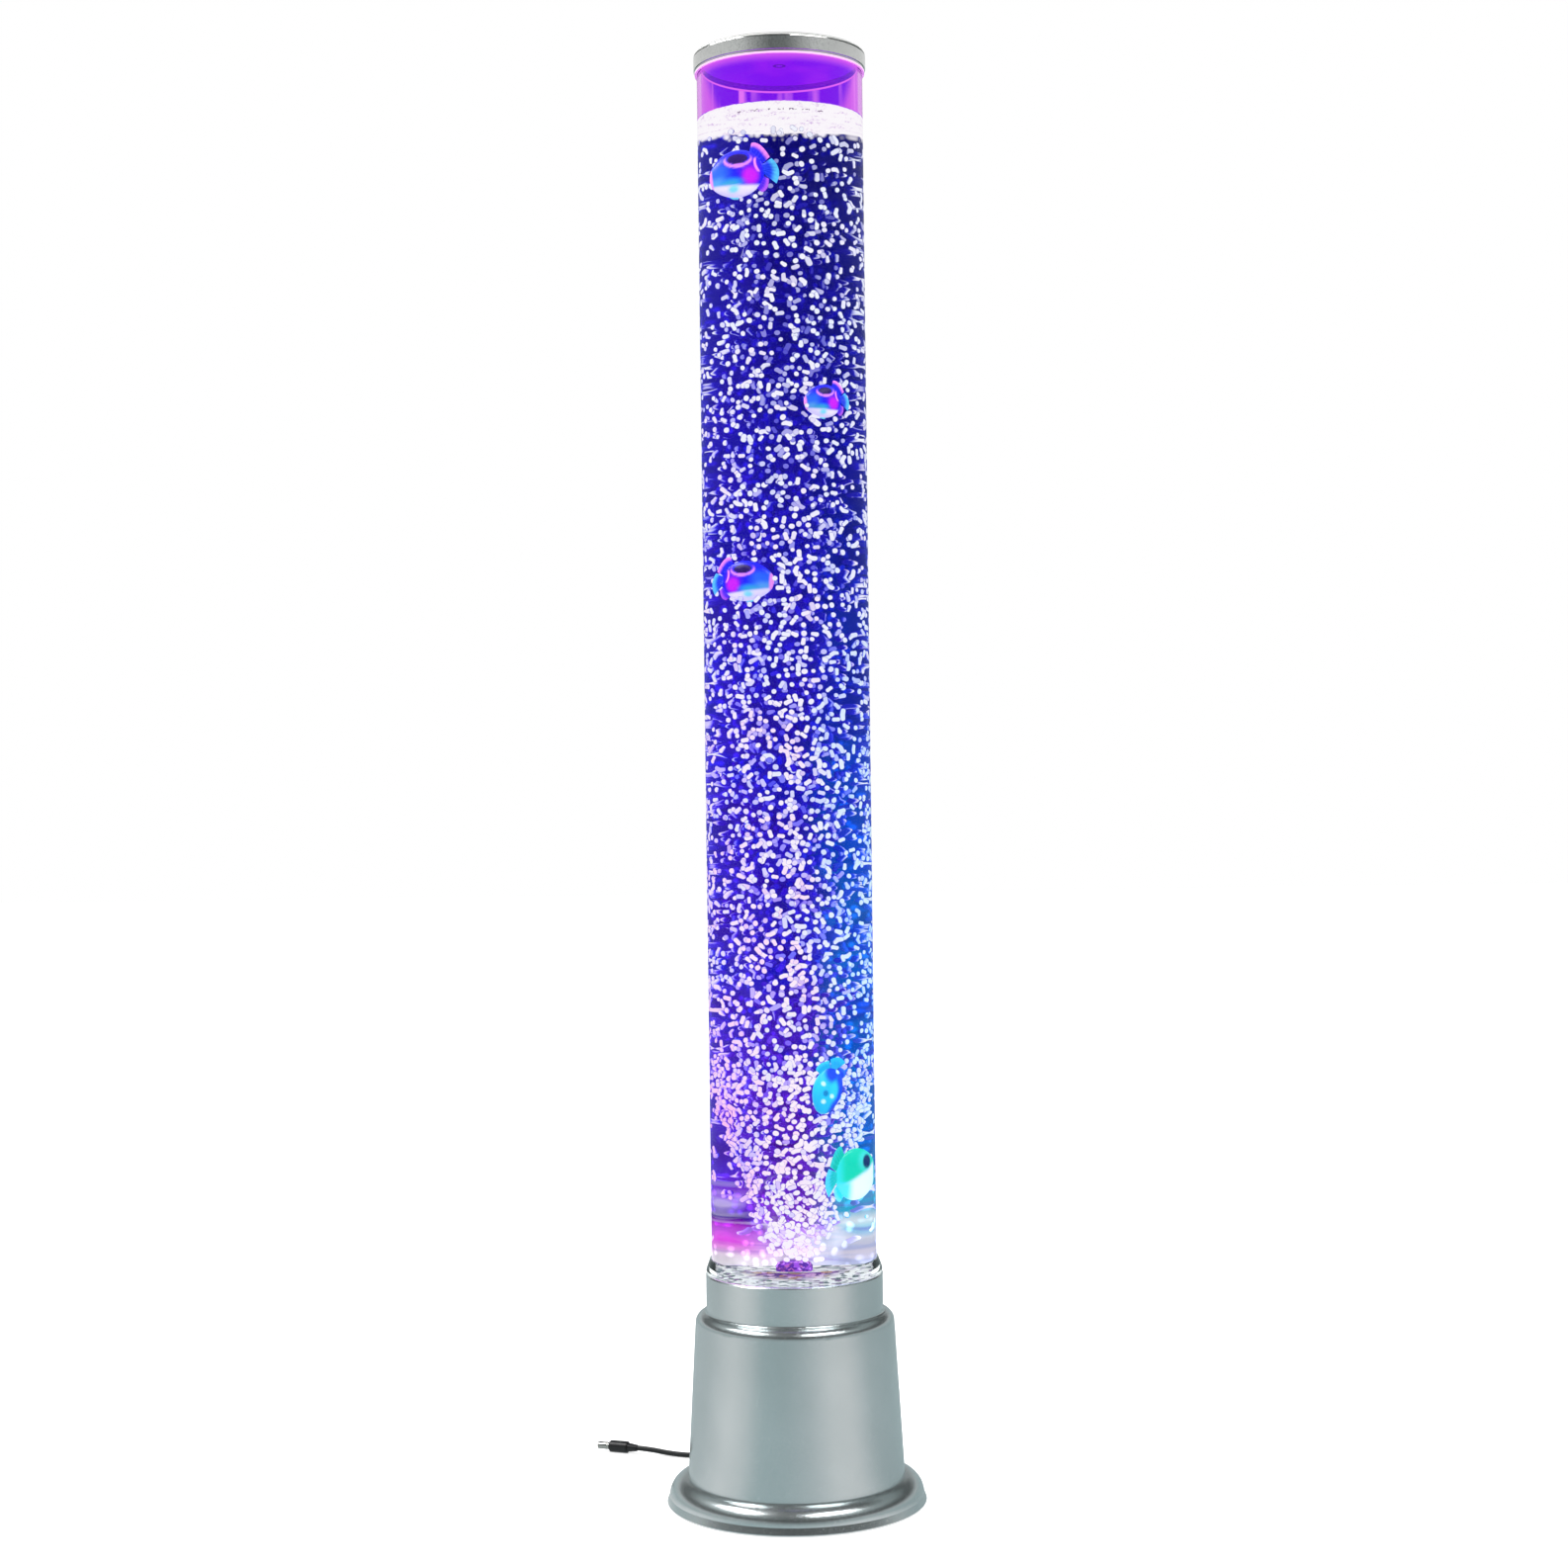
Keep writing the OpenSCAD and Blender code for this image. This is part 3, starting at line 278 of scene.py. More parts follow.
def lampTint(add, coords, low, high):
    # the lamps' colours mix unevenly: patches of magenta and of cyan, fading with height and at the foot
    field = add("TexNoise", {"Vector": coords, "Scale": 30.0, "Detail": 1.0})
    hue = setStops(add("ValToRGB", {"Fac": field}), [(0.36, low), (0.46, "#ffffff"), (0.54, "#ffffff"),
        (0.64, high)])
    level = add("SeparateXYZ", {0: coords}).outputs["Z"]
    fade = add("MapRange", {"Value": level, "From": (0.45, 0.95), "To": (1.0, 0.25)})
    rise = add("MapRange", {"Value": level, "From": (0.185, 0.235)})
    return add("Math", {0: fade, 1: rise}, operation="MULTIPLY"), hue

def waterColour(add, coords, reach):
    # left, middle and right colours by height, mixed over the given reach, with wandering edges
    noise = add("TexNoise", {"Vector": coords, "Scale": 28.0, "Detail": 2.0}).outputs["Color"]
    pull = add("VectorMath", {0: noise, 1: (0.5, 0.5, 0.5)}, operation="SUBTRACT")
    amount = waterLight["drift"] * 2
    moved = add("VectorMath", {0: pull, 1: (amount, amount, amount), 2: coords}, operation="MULTIPLY_ADD")
    x, _, z = add("SeparateXYZ", {0: moved}).outputs
    aside = add("Math", {0: x}, operation="ABSOLUTE")
    hang = add("MapRange", {"Value": aside, "From Max": reach, "To": (waterLight["bowl"], 0.0)})
    sunk = add("Math", {0: z, 1: hang})
    height = add("MapRange", {"Value": sunk, "From": waterLight["levels"]})
    ramps = [setStops(add("ValToRGB", {"Fac": height}), waterLight[k]) for k in ("left", "middle",
        "right")]
    toMiddle = add("MapRange", {"Value": x, "From": (-reach, 0.0)}, interpolation_type="SMOOTHSTEP")
    toRight = add("MapRange", {"Value": x, "From": (0.1 * reach, reach)}, interpolation_type="SMOOTHSTEP")
    first = add("Mix", {0: toMiddle, 6: ramps[0], 7: ramps[1]})
    plain = add("Mix", {0: toRight, 6: first, 7: ramps[2]})
    share, hue = lampTint(add, coords, "#ffb0f0", "#a8dcff")
    return add("Mix", {0: share, 6: plain, 7: hue}, blend_type="MULTIPLY")

# water column: clear from its near side, glowing on its far side

water = {
    "radius": 56.7,
    "bottom": 165.2,
    "top": 1001.4,
    "sides": 192,
    "ghostSize": 7.0,  # millimetres between the blurred bubbles far behind
    "swirls": (0.195, 0.235),  # metres up, the light swirls fade out between them
    "stoneGlow": (0.018, 0.034),  # metres from the axis, the stone's light fades out between them
    "foam": (0.9912, 0.9967),  # metres up, the hanging foam fades in between them
    "foamHang": -0.009,
}
waterMade, add, coords = startMaterial("water lit from below")
x, y, z = add("SeparateXYZ", {0: coords}).outputs
deep = waterColour(add, coords, waterLight["behind"])
# the round tube doubles the far wall's width, so its blurred bubbles are half as wide as high
narrow = add("VectorMath", {0: coords, 1: (2, 2, 1)}, operation="MULTIPLY")
ghosts = add("TexVoronoi", {"Vector": narrow, "Scale": 1 / (water["ghostSize"] * mm), "Smoothness": 0.35},
    feature="SMOOTH_F1")
ghostMask = add("MapRange", {"Value": ghosts, "From": (0.45, 0.1), "To Max": 0.6},
    interpolation_type="SMOOTHSTEP")
blurred = add("VectorMath", {0: deep, 1: (3, 3, 3)}, operation="MULTIPLY")
lit = add("Mix", {0: ghostMask, 6: deep, 7: blurred})
# light swirls in flat blurred patches just above the tank floor
flattened = add("VectorMath", {0: coords, 1: (30, 30, 80)}, operation="MULTIPLY")
swirl = add("TexNoise", {"Vector": flattened, "Scale": 1.0, "Detail": 2.0, "Distortion": 0.8})
low = add("MapRange", {"Value": z, "From": water["swirls"][::-1]})
lightShare = add("Math", {0: add("MapRange", {"Value": swirl, "From": (0.52, 0.68), "To Max": 0.75}),
    1: low}, operation="MULTIPLY")
darkShare = add("Math", {0: add("MapRange", {"Value": swirl, "From": (0.46, 0.3), "To Max": 0.7}),
    1: low}, operation="MULTIPLY")
lit = add("Mix", {0: lightShare, 6: lit, 7: "#f6eefc"})
lit = add("Mix", {0: darkShare, 6: lit, 7: "#7a3cd0"})
# foam hangs in lumps from the water line
lumps = add("TexVoronoi", {"Vector": narrow, "Scale": 1 / (5 * mm)})
hanging = add("Math", {0: lumps, 1: water["foamHang"], 2: z}, operation="MULTIPLY_ADD")
foamShare = add("MapRange", {"Value": hanging, "From": water["foam"]}, interpolation_type="SMOOTHSTEP")
lit = add("Mix", {0: foamShare, 6: lit, 7: "#fbf6fd"})
patches = add("TexNoise", {"Vector": narrow, "Scale": 1 / (18 * mm), "Detail": 3.0})
dim = add("MapRange", {"Value": patches, "From": (0.3, 0.7), "To": (0.75, 1.15)})
# sparkles where the light comes up through the tank floor
grit = add("TexVoronoi", {"Vector": coords, "Scale": 1 / (3.6 * mm)})
gritShade = setStops(add("ValToRGB", {"Fac": add("SeparateColor", {0: grit.outputs["Color"]})}),
    [(0.0, "#fbfcfc"), (0.2, "#a4b0b6"), (0.38, "#eef2f2"), (0.52, "#5c7078"), (0.66, "#d4d0e0"),
    (0.8, "#86709a"), (0.9, "#f8fcff")], "CONSTANT")
fromAxis = fromAxisOf(add, x, y)
nearStone = add("MapRange", {"Value": fromAxis, "From": water["stoneGlow"][::-1]})
gritPick = add("SeparateColor", {0: grit.outputs["Color"]}).outputs["Green"]
stoneLight = setStops(add("ValToRGB", {"Fac": gritPick}), [(0.0, "#8a4cb0"), (0.35, "#b07858"),
    (0.55, "#5a2a8a"), (0.75, "#d0a0d8")], "CONSTANT")
gritShade = add("Mix", {0: nearStone, 6: gritShade, 7: stoneLight})
onFloor = add("Math", {0: z, 1: (water["bottom"] + 0.4) * mm}, operation="LESS_THAN")
lit = add("Mix", {0: onFloor, 6: lit, 7: gritShade})
dim = add("Mix", {0: onFloor, 2: dim, 3: 0.95})
glow = add("Emission", {"Color": lit, "Strength": dim})
backSide = add("NewGeometry").outputs["Backfacing"]
shadowRay = add("LightPath").outputs["Is Shadow Ray"]
shown = add("Math", {0: backSide, 1: shadowRay}, operation="SUBTRACT", use_clamp=True)
showOverClear(add, shown, glow)

radius, bottom, top = water["radius"], water["bottom"], water["top"]
levels = np.linspace(bottom + 0.6, top, 60)
waterProfile = [(0, bottom), (radius, bottom), *((radius, z) for z in levels), (0, top)]
makePiece("waterColumn", *turned(np.array(waterProfile) * mm, water["sides"]), waterMade, "base")
print("water filled")

# the school: where each fish floats, sizes in millimetres, angles in degrees

school = {
    "fish_top_left": {"body": "top_left_fish", "length": 50, "height": 40, "level": 956.8,
                      "azimuth": 232, "turn": 162, "dip": 8, "coat": "reef"},
    "fish_upper_right": {"body": "upper_right_fish", "length": 33, "height": 28, "level": 793.8,
                         "azimuth": 311, "turn": 195, "dip": 8, "coat": "reef"},
    "fish_mid_left": {"body": "mid_left_fish", "length": 46, "height": 34, "level": 666.8,
                      "azimuth": 224, "turn": 338, "dip": 4, "coat": "reef"},
    "fish_low_right": {"body": "low_right_fish", "length": 43, "height": 27, "level": 308.0,
                       "azimuth": 300, "turn": 214, "dip": 72, "coat": "cyan"},
    "fish_bottom_right": {"body": "bottom_right_fish", "length": 50, "height": 44, "level": 241.0,
                          "azimuth": 327, "turn": 47, "dip": 0, "coat": "green"},
}
fishForm = {"thickness": 10, "wall": 57, "room": 2.5, "rows": 90, "sides": 72}

# bubbles: dots and short worms of merged bubbles, spreading from the air stone to the wall

bubbles = {
    "seed": 11,
    "radius": (1.6, 2.15),
    # near the wall, in the plume, in its middle and deep in the water
    "spacing": (7.2, 6.3, 6.8, 10.5),  # between neighbours, before each is pushed about
    "depth": (6, 9, 6, 24),  # how far in they may lie
    "whiteness": (0.92, 1.0, 1.0, 0.45),
    "push": 0.34,
    "kinds": (0.56, 0.86),  # share of single dots, and of dots and pairs; the rest are bent threes
    "shellRadius": 51.5,
    "deepRadius": 33,
    "lowest": 186,
    "sparseTo": 225,
    "coreTop": 236,
    "thinFrom": 560,  # above this the wall's bubbles slowly thin out
    "top": 994.0,
    "deepTop": 968,
    "wallRoom": 0.5,
    "fishRoom": 0.8,
    "stoneRadius": 10.0,
    "plumeFoot": 179.0,
    "plumeTop": 322.0,
    "foamFoot": 986,  # at the wall, and higher towards the axis by the slope
    "foamSlope": 0.24,
    "sides": 8,
}

def bubbleTemplate(cols):
    # sphere of a few faces: two poles and five rings, the middle one a waist
    polar = np.radians([34, 66, 90, 114, 146])
    turn = np.arange(cols) * 2 * np.pi / cols
    body = np.stack([np.sin(polar)[:, None] * np.cos(turn), np.sin(polar)[:, None] * np.sin(turn),
                     np.repeat(-np.cos(polar)[:, None], cols, 1)], -1).reshape(-1, 3)
    points = np.vstack([body, [0, 0, -1], [0, 0, 1]])
    quads = gridFaces(len(polar), cols)
    k = np.arange(cols)
    last = (len(polar) - 1) * cols
    low = np.stack([(k + 1) % cols, k, np.full(cols, len(body))], 1)
    high = np.stack([k + last, (k + 1) % cols + last, np.full(cols, len(body) + 1)], 1)
    return points, np.vstack([quads[:, [0, 1, 2]], quads[:, [0, 2, 3]], low, high])

def ringsOf(spacing, low, high, radiusAt, depth, rng):
    # rings one above the other on a round surface, each turned by the golden angle, every bubble
    # pushed about by part of the spacing and let in by up to the depth
    rows = []
    for k, z in enumerate(np.arange(low, high, spacing * 0.866)):
        r = float(radiusAt(z))
        n = max(1, round(2 * math.pi * r / spacing))
        angle = (np.arange(n) + 0.618 * k) * 2 * np.pi / n
        rows.append(np.stack([r * np.cos(angle), r * np.sin(angle), np.full(n, z)], 1))
    points = np.vstack(rows)
    points += rng.uniform(-1, 1, points.shape) * bubbles["push"] * spacing
    points[:, :2] *= (1 - rng.uniform(0, depth, len(points)) / (np.hypot(points[:, 0], points[:, 1])
        + 1))[:, None]
    return points

def plumeRadius(z):  # the plume opens like a vase until it reaches the wall
    rise = np.clip((z - bubbles["plumeFoot"]) / (bubbles["plumeTop"] - bubbles["plumeFoot"]), 0, 1)
    return 13 + 38 * rise**0.85

rng = np.random.default_rng(bubbles["seed"])
spacing, depth, foot, top = (bubbles[k] for k in ("spacing", "depth", "plumeFoot", "plumeTop"))
shell = ringsOf(spacing[0], bubbles["lowest"], bubbles["top"], lambda z: bubbles["shellRadius"],
                depth[0], rng)
thinning = 1 - 0.4 * np.clip((shell[:, 2] - bubbles["thinFrom"]) / 440, 0, 1)
chance = np.where(shell[:, 2] > top, thinning, np.where(shell[:, 2] > bubbles["sparseTo"], 0.3, 0.1))
# the round wall crowds its bubbles together at either side of the view, so some are left out there
chance *= 1 - 0.4 * np.clip((np.abs(shell[:, 0]) - 34) / 14, 0, 1)
shell = shell[rng.uniform(0, 1, len(shell)) < chance]
vase = ringsOf(spacing[1], foot, top, plumeRadius, depth[1], rng)
core = ringsOf(spacing[2], foot, bubbles["coreTop"], lambda z: 0.5 * plumeRadius(z), depth[2], rng)
deepIn = ringsOf(spacing[3], top - 40, bubbles["deepTop"], lambda z: bubbles["deepRadius"], depth[3], rng)
centres = np.vstack([shell, vase, core, deepIn])
whiteness = np.repeat(bubbles["whiteness"], [len(v) for v in (shell, vase, core, deepIn)])
count = len(centres)
radius = rng.uniform(*bubbles["radius"], count)
kind = rng.uniform(0, 1, count)
dot, notBent = kind < bubbles["kinds"][0], kind < bubbles["kinds"][1]
half = radius * np.where(dot, 0.08, np.where(notBent, 0.62, 1.15))
waist = np.where(notBent & ~dot, 0.84, 1.0)
bend = np.where(notBent, 0.0, 1.0) * radius * rng.uniform(0.4, 1.0, count)
direction = rng.normal(size=(count, 3)) * [1, 0.6, 1]
direction /= np.linalg.norm(direction, axis=1, keepdims=True)
span = half + radius + bend
clearOf = np.ones(count, bool)
travels = {j["child"]: j["range_m"] for j in frame["joints"] if j["type"] == "slide"}

def laneOf(node, fish):
    # the fish's lane is a box along its own length; where each bubble stands across it and if it is in it
    dip, turn = math.radians(fish["dip"]), math.radians(fish["turn"])
    halfLong = (fish["length"] * abs(math.cos(dip)) + fish["height"] * abs(math.sin(dip))) / 2
    low, high = (np.array(c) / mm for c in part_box(node))
    middle, travel = (low + high) / 2, np.array(travels[fish["body"]]) / mm
    room = bubbles["fishRoom"] + span
    ahead, aside = centres[:, 0] - middle[0], centres[:, 1] - middle[1]
    along = ahead * math.cos(turn) + aside * math.sin(turn)
    across = aside * math.cos(turn) - ahead * math.sin(turn)
    inside = ((np.abs(along) < halfLong + room) & (np.abs(across) < fishForm["thickness"] / 2 + room)
              & (centres[:, 2] > low[2] + travel[0] - room)
              & (centres[:, 2] < high[2] + travel[1] + room))
    return low, high, middle, turn, room, across, inside

for node, fish in school.items():
    # a bubble in the lane goes in behind the fish
    low, high, middle, turn, room, across, inLane = laneOf(node, fish)
    inward = -np.sign(middle[1] * math.cos(turn) - middle[0] * math.sin(turn))
    shift = inward * (fishForm["thickness"] / 2 + room + rng.uniform(0.1, 9, count)) - across
    centres[inLane] += (shift[:, None] * [-math.sin(turn), math.cos(turn), 0])[inLane]
    # nothing floats between the fish at rest and the camera's side of the tube
    clearOf &= ~np.all((centres > low + [3, -30, 3]) & (centres < high - [3, 0, 3]), axis=1)
for node, fish in school.items():
    clearOf &= ~laneOf(node, fish)[-1]
fromAxis = np.hypot(centres[:, 0], centres[:, 1])
clearOf &= fromAxis + span < water["radius"] - bubbles["wallRoom"]
# none stands in front of the foam as seen from lower down
clearOf &= centres[:, 2] + span < bubbles["foamFoot"] + bubbles["foamSlope"] * (56 - fromAxis)
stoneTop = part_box("air_stone")[1][2] / mm
overStone = fromAxis < bubbles["stoneRadius"] + span + 0.3
clearOf &= centres[:, 2] - span > np.where(overStone, stoneTop + 0.3, water["bottom"] + 2)
centres, radius, half, waist, bend, direction, whiteness = (
    v[clearOf] for v in (centres, radius, half, waist, bend, direction, whiteness))
centres, radius, half, bend = centres * mm, radius * mm, half * mm, bend * mm
count = len(centres)

bubbleTints = {  # by height, and metres to the right between which they mix
    "left": [(0.0, "#fff6fe"), (0.03, "#ffe4fb"), (0.06, "#ffccf8"), (0.14, "#ffd2f8"),
             (0.25, "#ffe8fe"), (0.6, "#f6f0ff"), (1.0, "#f6f8ff")],
    "middle": [(0.0, "#fffaff"), (0.1, "#fff2fc"), (0.25, "#fff2fc"), (0.6, "#f8f4ff"),
               (1.0, "#f6f8ff")],
    "right": [(0.0, "#fbffff"), (0.04, "#f4feff"), (0.1, "#e2fbff"), (0.3, "#d8f6ff"),
              (0.6, "#eef0ff"), (1.0, "#eef2ff")],
    "toMiddle": (-0.036, -0.012),
    "toRight": (0.008, 0.04),
}
# wet bubble: bright in its middle, fading into the water's own colour at its rim
bubbleMade, add, coords = startMaterial("lit air bubbles")
deep = waterColour(add, coords, waterLight["around"])
facing = add("LayerWeight", {"Blend": 0.5}).outputs["Facing"]
core = add("MapRange", {"Value": facing, "From": (0.95, 0.45)}, interpolation_type="SMOOTHSTEP")
strength = add("Attribute", attribute_name="paint").outputs["Fac"]
share = add("Math", {0: core, 1: strength}, operation="MULTIPLY")
x, _, z = add("SeparateXYZ", {0: coords}).outputs
height = add("MapRange", {"Value": z, "From": waterLight["levels"]})
left, middle, right = (setStops(add("ValToRGB", {"Fac": height}), bubbleTints[side])
                       for side in ("left", "middle", "right"))
toMiddle = add("MapRange", {"Value": x, "From": bubbleTints["toMiddle"]})
toRight = add("MapRange", {"Value": x, "From": bubbleTints["toRight"]})
tint = add("Mix", {0: toMiddle, 6: left, 7: middle})
tint = add("Mix", {0: toRight, 6: tint, 7: right})
tintShare, hue = lampTint(add, coords, "#fff0fc", "#eefaff")
tint = add("Mix", {0: tintShare, 6: tint, 7: hue}, blend_type="MULTIPLY")
# a dim bubble is a brighter tone of the water round it, and only a near one turns white
brighter = add("VectorMath", {0: deep, 1: (2.6, 2.6, 2.6)}, operation="MULTIPLY")
faint = add("MapRange", {"Value": share, "From Max": 0.5})
white = add("MapRange", {"Value": share, "From": (0.35, 0.9)})
shine = add("Mix", {0: faint, 6: deep, 7: brighter})
shine = add("Mix", {0: white, 6: shine, 7: tint})
showShader(add, add("Emission", {"Color": shine, "Strength": 1.0}))

template, templateFaces = bubbleTemplate(bubbles["sides"])
side = np.cross(direction, rng.normal(size=(count, 3)))
side /= np.linalg.norm(side, axis=1, keepdims=True)
other = np.cross(direction, side)
# each bubble: the sphere scaled by its radius, its halves drawn apart, its waist thinned and bent
isWaist = np.abs(template[:, 2]) < 1e-6
around = np.where(isWaist, waist[:, None], 1.0) * radius[:, None]
sideways = template[:, 0] * around + np.where(isWaist, bend[:, None], 0.0)
normals = (template[:, 0][None, :, None] * side[:, None] + template[:, 1][None, :, None] * other[:, None]
           + template[:, 2][None, :, None] * direction[:, None])
along = template[:, 2] * radius[:, None] + np.sign(np.round(template[:, 2], 6)) * half[:, None]
worms = (centres[:, None] + sideways[..., None] * side[:, None]
         + (template[:, 1] * around)[..., None] * other[:, None] + along[..., None] * direction[:, None])
# bubbles deep in the water, and the inward side of every bubble, are dimmer
fromAxis = np.hypot(centres[:, 0], centres[:, 1])
outward = np.stack([centres[:, 0], centres[:, 1], np.zeros(count)], 1) / fromAxis[:, None]
towards = np.clip((np.einsum("ijk,ik->ij", normals, outward) + 0.5) / 0.5, 0, 1)
overStone = np.clip((0.215 - centres[:, 2]) / 0.03, 0, 0.8) * (fromAxis < 0.025)
strength = np.clip(whiteness + rng.normal(0, 0.13, count), 0.2, 1)
shade = strength[:, None] * np.maximum(0.12 + 0.88 * towards**1.5, 0.9 * overStone[:, None])
# each piece holds the bubbles between two levels
bands = {"Foot": (0, 0.26), "Low": (0.26, 0.42), "Middle": (0.42, 0.6), "High": (0.6, 0.78),
         "Top": (0.78, 2)}
for band, (bottom, top) in bands.items():
    pick = (centres[:, 2] >= bottom) & (centres[:, 2] < top)
    offsets = (np.arange(pick.sum()) * len(template))[:, None, None]
    faces = (templateFaces[None] + offsets).reshape(-1, 3)
    makePiece("bubbles" + band, worms[pick].reshape(-1, 3), faces, bubbleMade,
              "base", merge=False, colours=np.repeat(shade[pick].reshape(-1, 1), 3, 1))
    print("bubbles in band", band, int(pick.sum()))

# fish: plump toy fish moulded in bright plastic, painted in bands, their paint also glowing as painted
# light

def soft(value, start, end):  # 0 before start, 1 past end, smooth between
    t = np.clip((value - start) / (end - start), 0, 1)
    return (t * t * (3 - 2 * t))[..., None]

def spot(x, z, at, size, tilt=0.0, edge=0.25):
    # soft-edged ellipse, turned by tilt degrees
    a = np.radians(tilt)
    u = ((x - at[0]) * np.cos(a) + (z - at[1]) * np.sin(a)) / size[0]
    v = (-(x - at[0]) * np.sin(a) + (z - at[1]) * np.cos(a)) / size[1]
    return 1 - soft(np.hypot(u, v), 1 - edge, 1 + edge)

def painted(x, base, layers):  # the base colour, then each (mask, colour) over it
    shown = np.ones(x.shape + (3,)) * linearColour(base)[:3]
    for mask, colour in layers:
        shown = shown * (1 - mask) + mask * linearColour(colour)[:3]
    return shown

def reefCoat(x, z):
    # royal blue back, light blue face, magenta flank, white belly, pink lips, dark almond eye
    gill = -0.18 - 1.4 * (z - 0.12)**2
    return painted(x, "#1c1ee8", [
        (soft(x, 0.08, 0.3) * soft(-z, -0.3, -0.1), "#2a66dc"),
        (soft(x, 0.2, 0.36) * soft(-z, -0.06, 0.1), "#58a4d8"),
        (spot(x, z, (-0.09, 0.04), (0.13, 0.22), edge=0.5), "#5a18e0"),
        (spot(x, z, (-0.1, -0.09), (0.1, 0.15), edge=0.45), "#c81ee6"),
        (spot(x, z, (0.19, -0.17), (0.16, 0.09), edge=0.6), "#34a4c4"),
        (soft(0.22 * x - z, 0.2, 0.27), "#f2eafa"),
        (spot(x, z, (0.15, -0.27), (0.07, 0.06), edge=0.6), "#84e4ea"),
        (soft(x, 0.43, 0.47), "#fa96dc"),
        ((1 - soft(np.abs(x - gill), 0.008, 0.02)) * soft(z, -0.06, -0.02) * soft(-z, -0.24, -0.18),
         "#ff94f2"),
        (spot(x, z, (0.04, 0.23), (0.19, 0.13), 8, 0.12), "#f296f4"),
        (spot(x, z, (0.035, 0.265), (0.175, 0.115), 8, 0.12), "#1c1ee8"),
        (spot(x, z, (0.04, 0.25), (0.145, 0.095), 8, 0.15), "#240a54")])

def greenCoat(x, z):
    # sea green back, paler towards the tail, white cheek and belly, dark eye
    return painted(x, "#14d49c", [
        (soft(-x, 0.1, 0.26), "#34e4c8"),
        (soft(0.5 * x - 0.06 - z, -0.04, 0.06), "#f6fffc"),
        (soft(-x, -0.02, 0.12) * soft(-z, 0.06, 0.16), "#5ce4e8"),
        (spot(x, z, (0.22, 0.2), (0.13, 0.15), edge=0.5), "#48e0c0"),
        (soft(x, 0.4, 0.46), "#26c8a8"),
        (spot(x, z, (0.25, 0.19), (0.09, 0.11), edge=0.25), "#0c2c54")])

def cyanCoat(x, z):
    # turquoise, its belly deep blue, with a few blue and pale marks
    pale = [(0.3, 0.12), (0.02, 0.24), (0.18, -0.08), (-0.24, -0.14)]
    return painted(x, "#2cc8d8", [
        (spot(x, z, (-0.2, 0.02), (0.16, 0.2), edge=0.4), "#1e4ccc"),
        (soft(-z, 0.06, 0.2), "#2450d0"),
        (spot(x, z, (0.1, -0.12), (0.16, 0.12), edge=0.5), "#34d0d8"),
        *((spot(x, z, at, (0.035, 0.06), edge=0.4), "#d8fcff") for at in pale),
        (spot(x, z, (0.16, 0.12), (0.05, 0.08), edge=0.3), "#1488b0")])

coats = {
    "reef": {"skin": reefCoat, "tail": ("#2040d8", "#58c4e8"), "dorsal": ("#2428dc", "#f48ce0"),
             "anal": ("#5a2ad8", "#b85ce0"), "pelvic": ("#3cc8ee", "#8cf4f4")},
    "green": {"skin": greenCoat, "tail": ("#20c8b4", "#58dce4"), "dorsal": ("#12c8a0", "#2cd4b8"),
              "anal": ("#38dcf0", "#7ce4f8"), "pelvic": ("#5a8cf0", "#7cd8f8")},
    "cyan": {"skin": cyanCoat, "tail": ("#28b4d4", "#30c8e0"), "dorsal": ("#20b8d0", "#40d4e4"),
             "anal": ("#2450d0", "#3a78e0"), "pelvic": ("#2450d0", "#58b4ec")},
}
fins = {  # base line from front to rear, then the free edge, as parts of length and height
    "tail": ([(-0.25, 0.07), (-0.27, 0.0), (-0.25, -0.07)],
             [(-0.4, 0.15), (-0.47, -0.08), (-0.41, -0.31)]),
    "dorsal": ([(-0.12, 0.33), (-0.2, 0.25), (-0.26, 0.08)],
               [(-0.17, 0.49), (-0.28, 0.42), (-0.38, 0.18)]),
    "anal": ([(-0.13, -0.31), (-0.19, -0.24), (-0.24, -0.12)],
             [(-0.2, -0.41), (-0.28, -0.36), (-0.32, -0.2)]),
    "pelvic": ([(0.24, -0.28), (0.17, -0.33), (0.1, -0.36)],
               [(0.24, -0.37), (0.19, -0.43), (0.12, -0.45)]),
}

def curveThrough(points, steps):
    # parabola through three points
    a, b, c = (np.array(p, float) for p in points)
    t = np.linspace(0, 1, steps)[:, None]
    return a * (1 - t) * (1 - 2 * t) + b * 4 * t * (1 - t) - c * t * (1 - 2 * t)

def finSheets(name, colours, length, height):
    # two sheets from the base line to the free edge, meeting at the edges, with ribs along the rays
    rays, steps = 25, 12
    base, edge = (curveThrough(p, rays) for p in fins[name])
    s = np.linspace(0, 1, steps)[:, None, None]
    flat = base * (1 - s) + edge * s
    ray = np.linspace(0, 1, rays)[None, :] * np.ones((steps, 1))
    s = s[..., 0] * np.ones((1, rays))
    rib = 0.75 + 0.25 * np.cos(ray * 2 * np.pi * 6)
    thick = 0.75 * rib * (1 - 0.6 * s) * np.minimum(1, 8 * np.minimum(ray, 1 - ray))
    thick = thick * np.minimum(1, 8 * (1 - s))
    paint = painted(s, colours[0], [(soft(s, 0.45, 0.85), colours[1])]) * (0.7 + 0.3 * rib)[..., None]
    sheets, shades, faces = [], [], []
    for sign in (1, -1):
        sheets.append(np.stack([flat[..., 0] * length, sign * thick, flat[..., 1] * height],
            -1).reshape(-1, 3))
        shades.append(paint.reshape(-1, 3))
        quads = gridFaces(steps, rays, closedCols=False)
        faces.append((quads if sign < 0 else quads[:, ::-1]) + (0 if sign > 0 else steps * rays))
    return np.vstack(sheets), np.vstack(faces), np.vstack(shades)

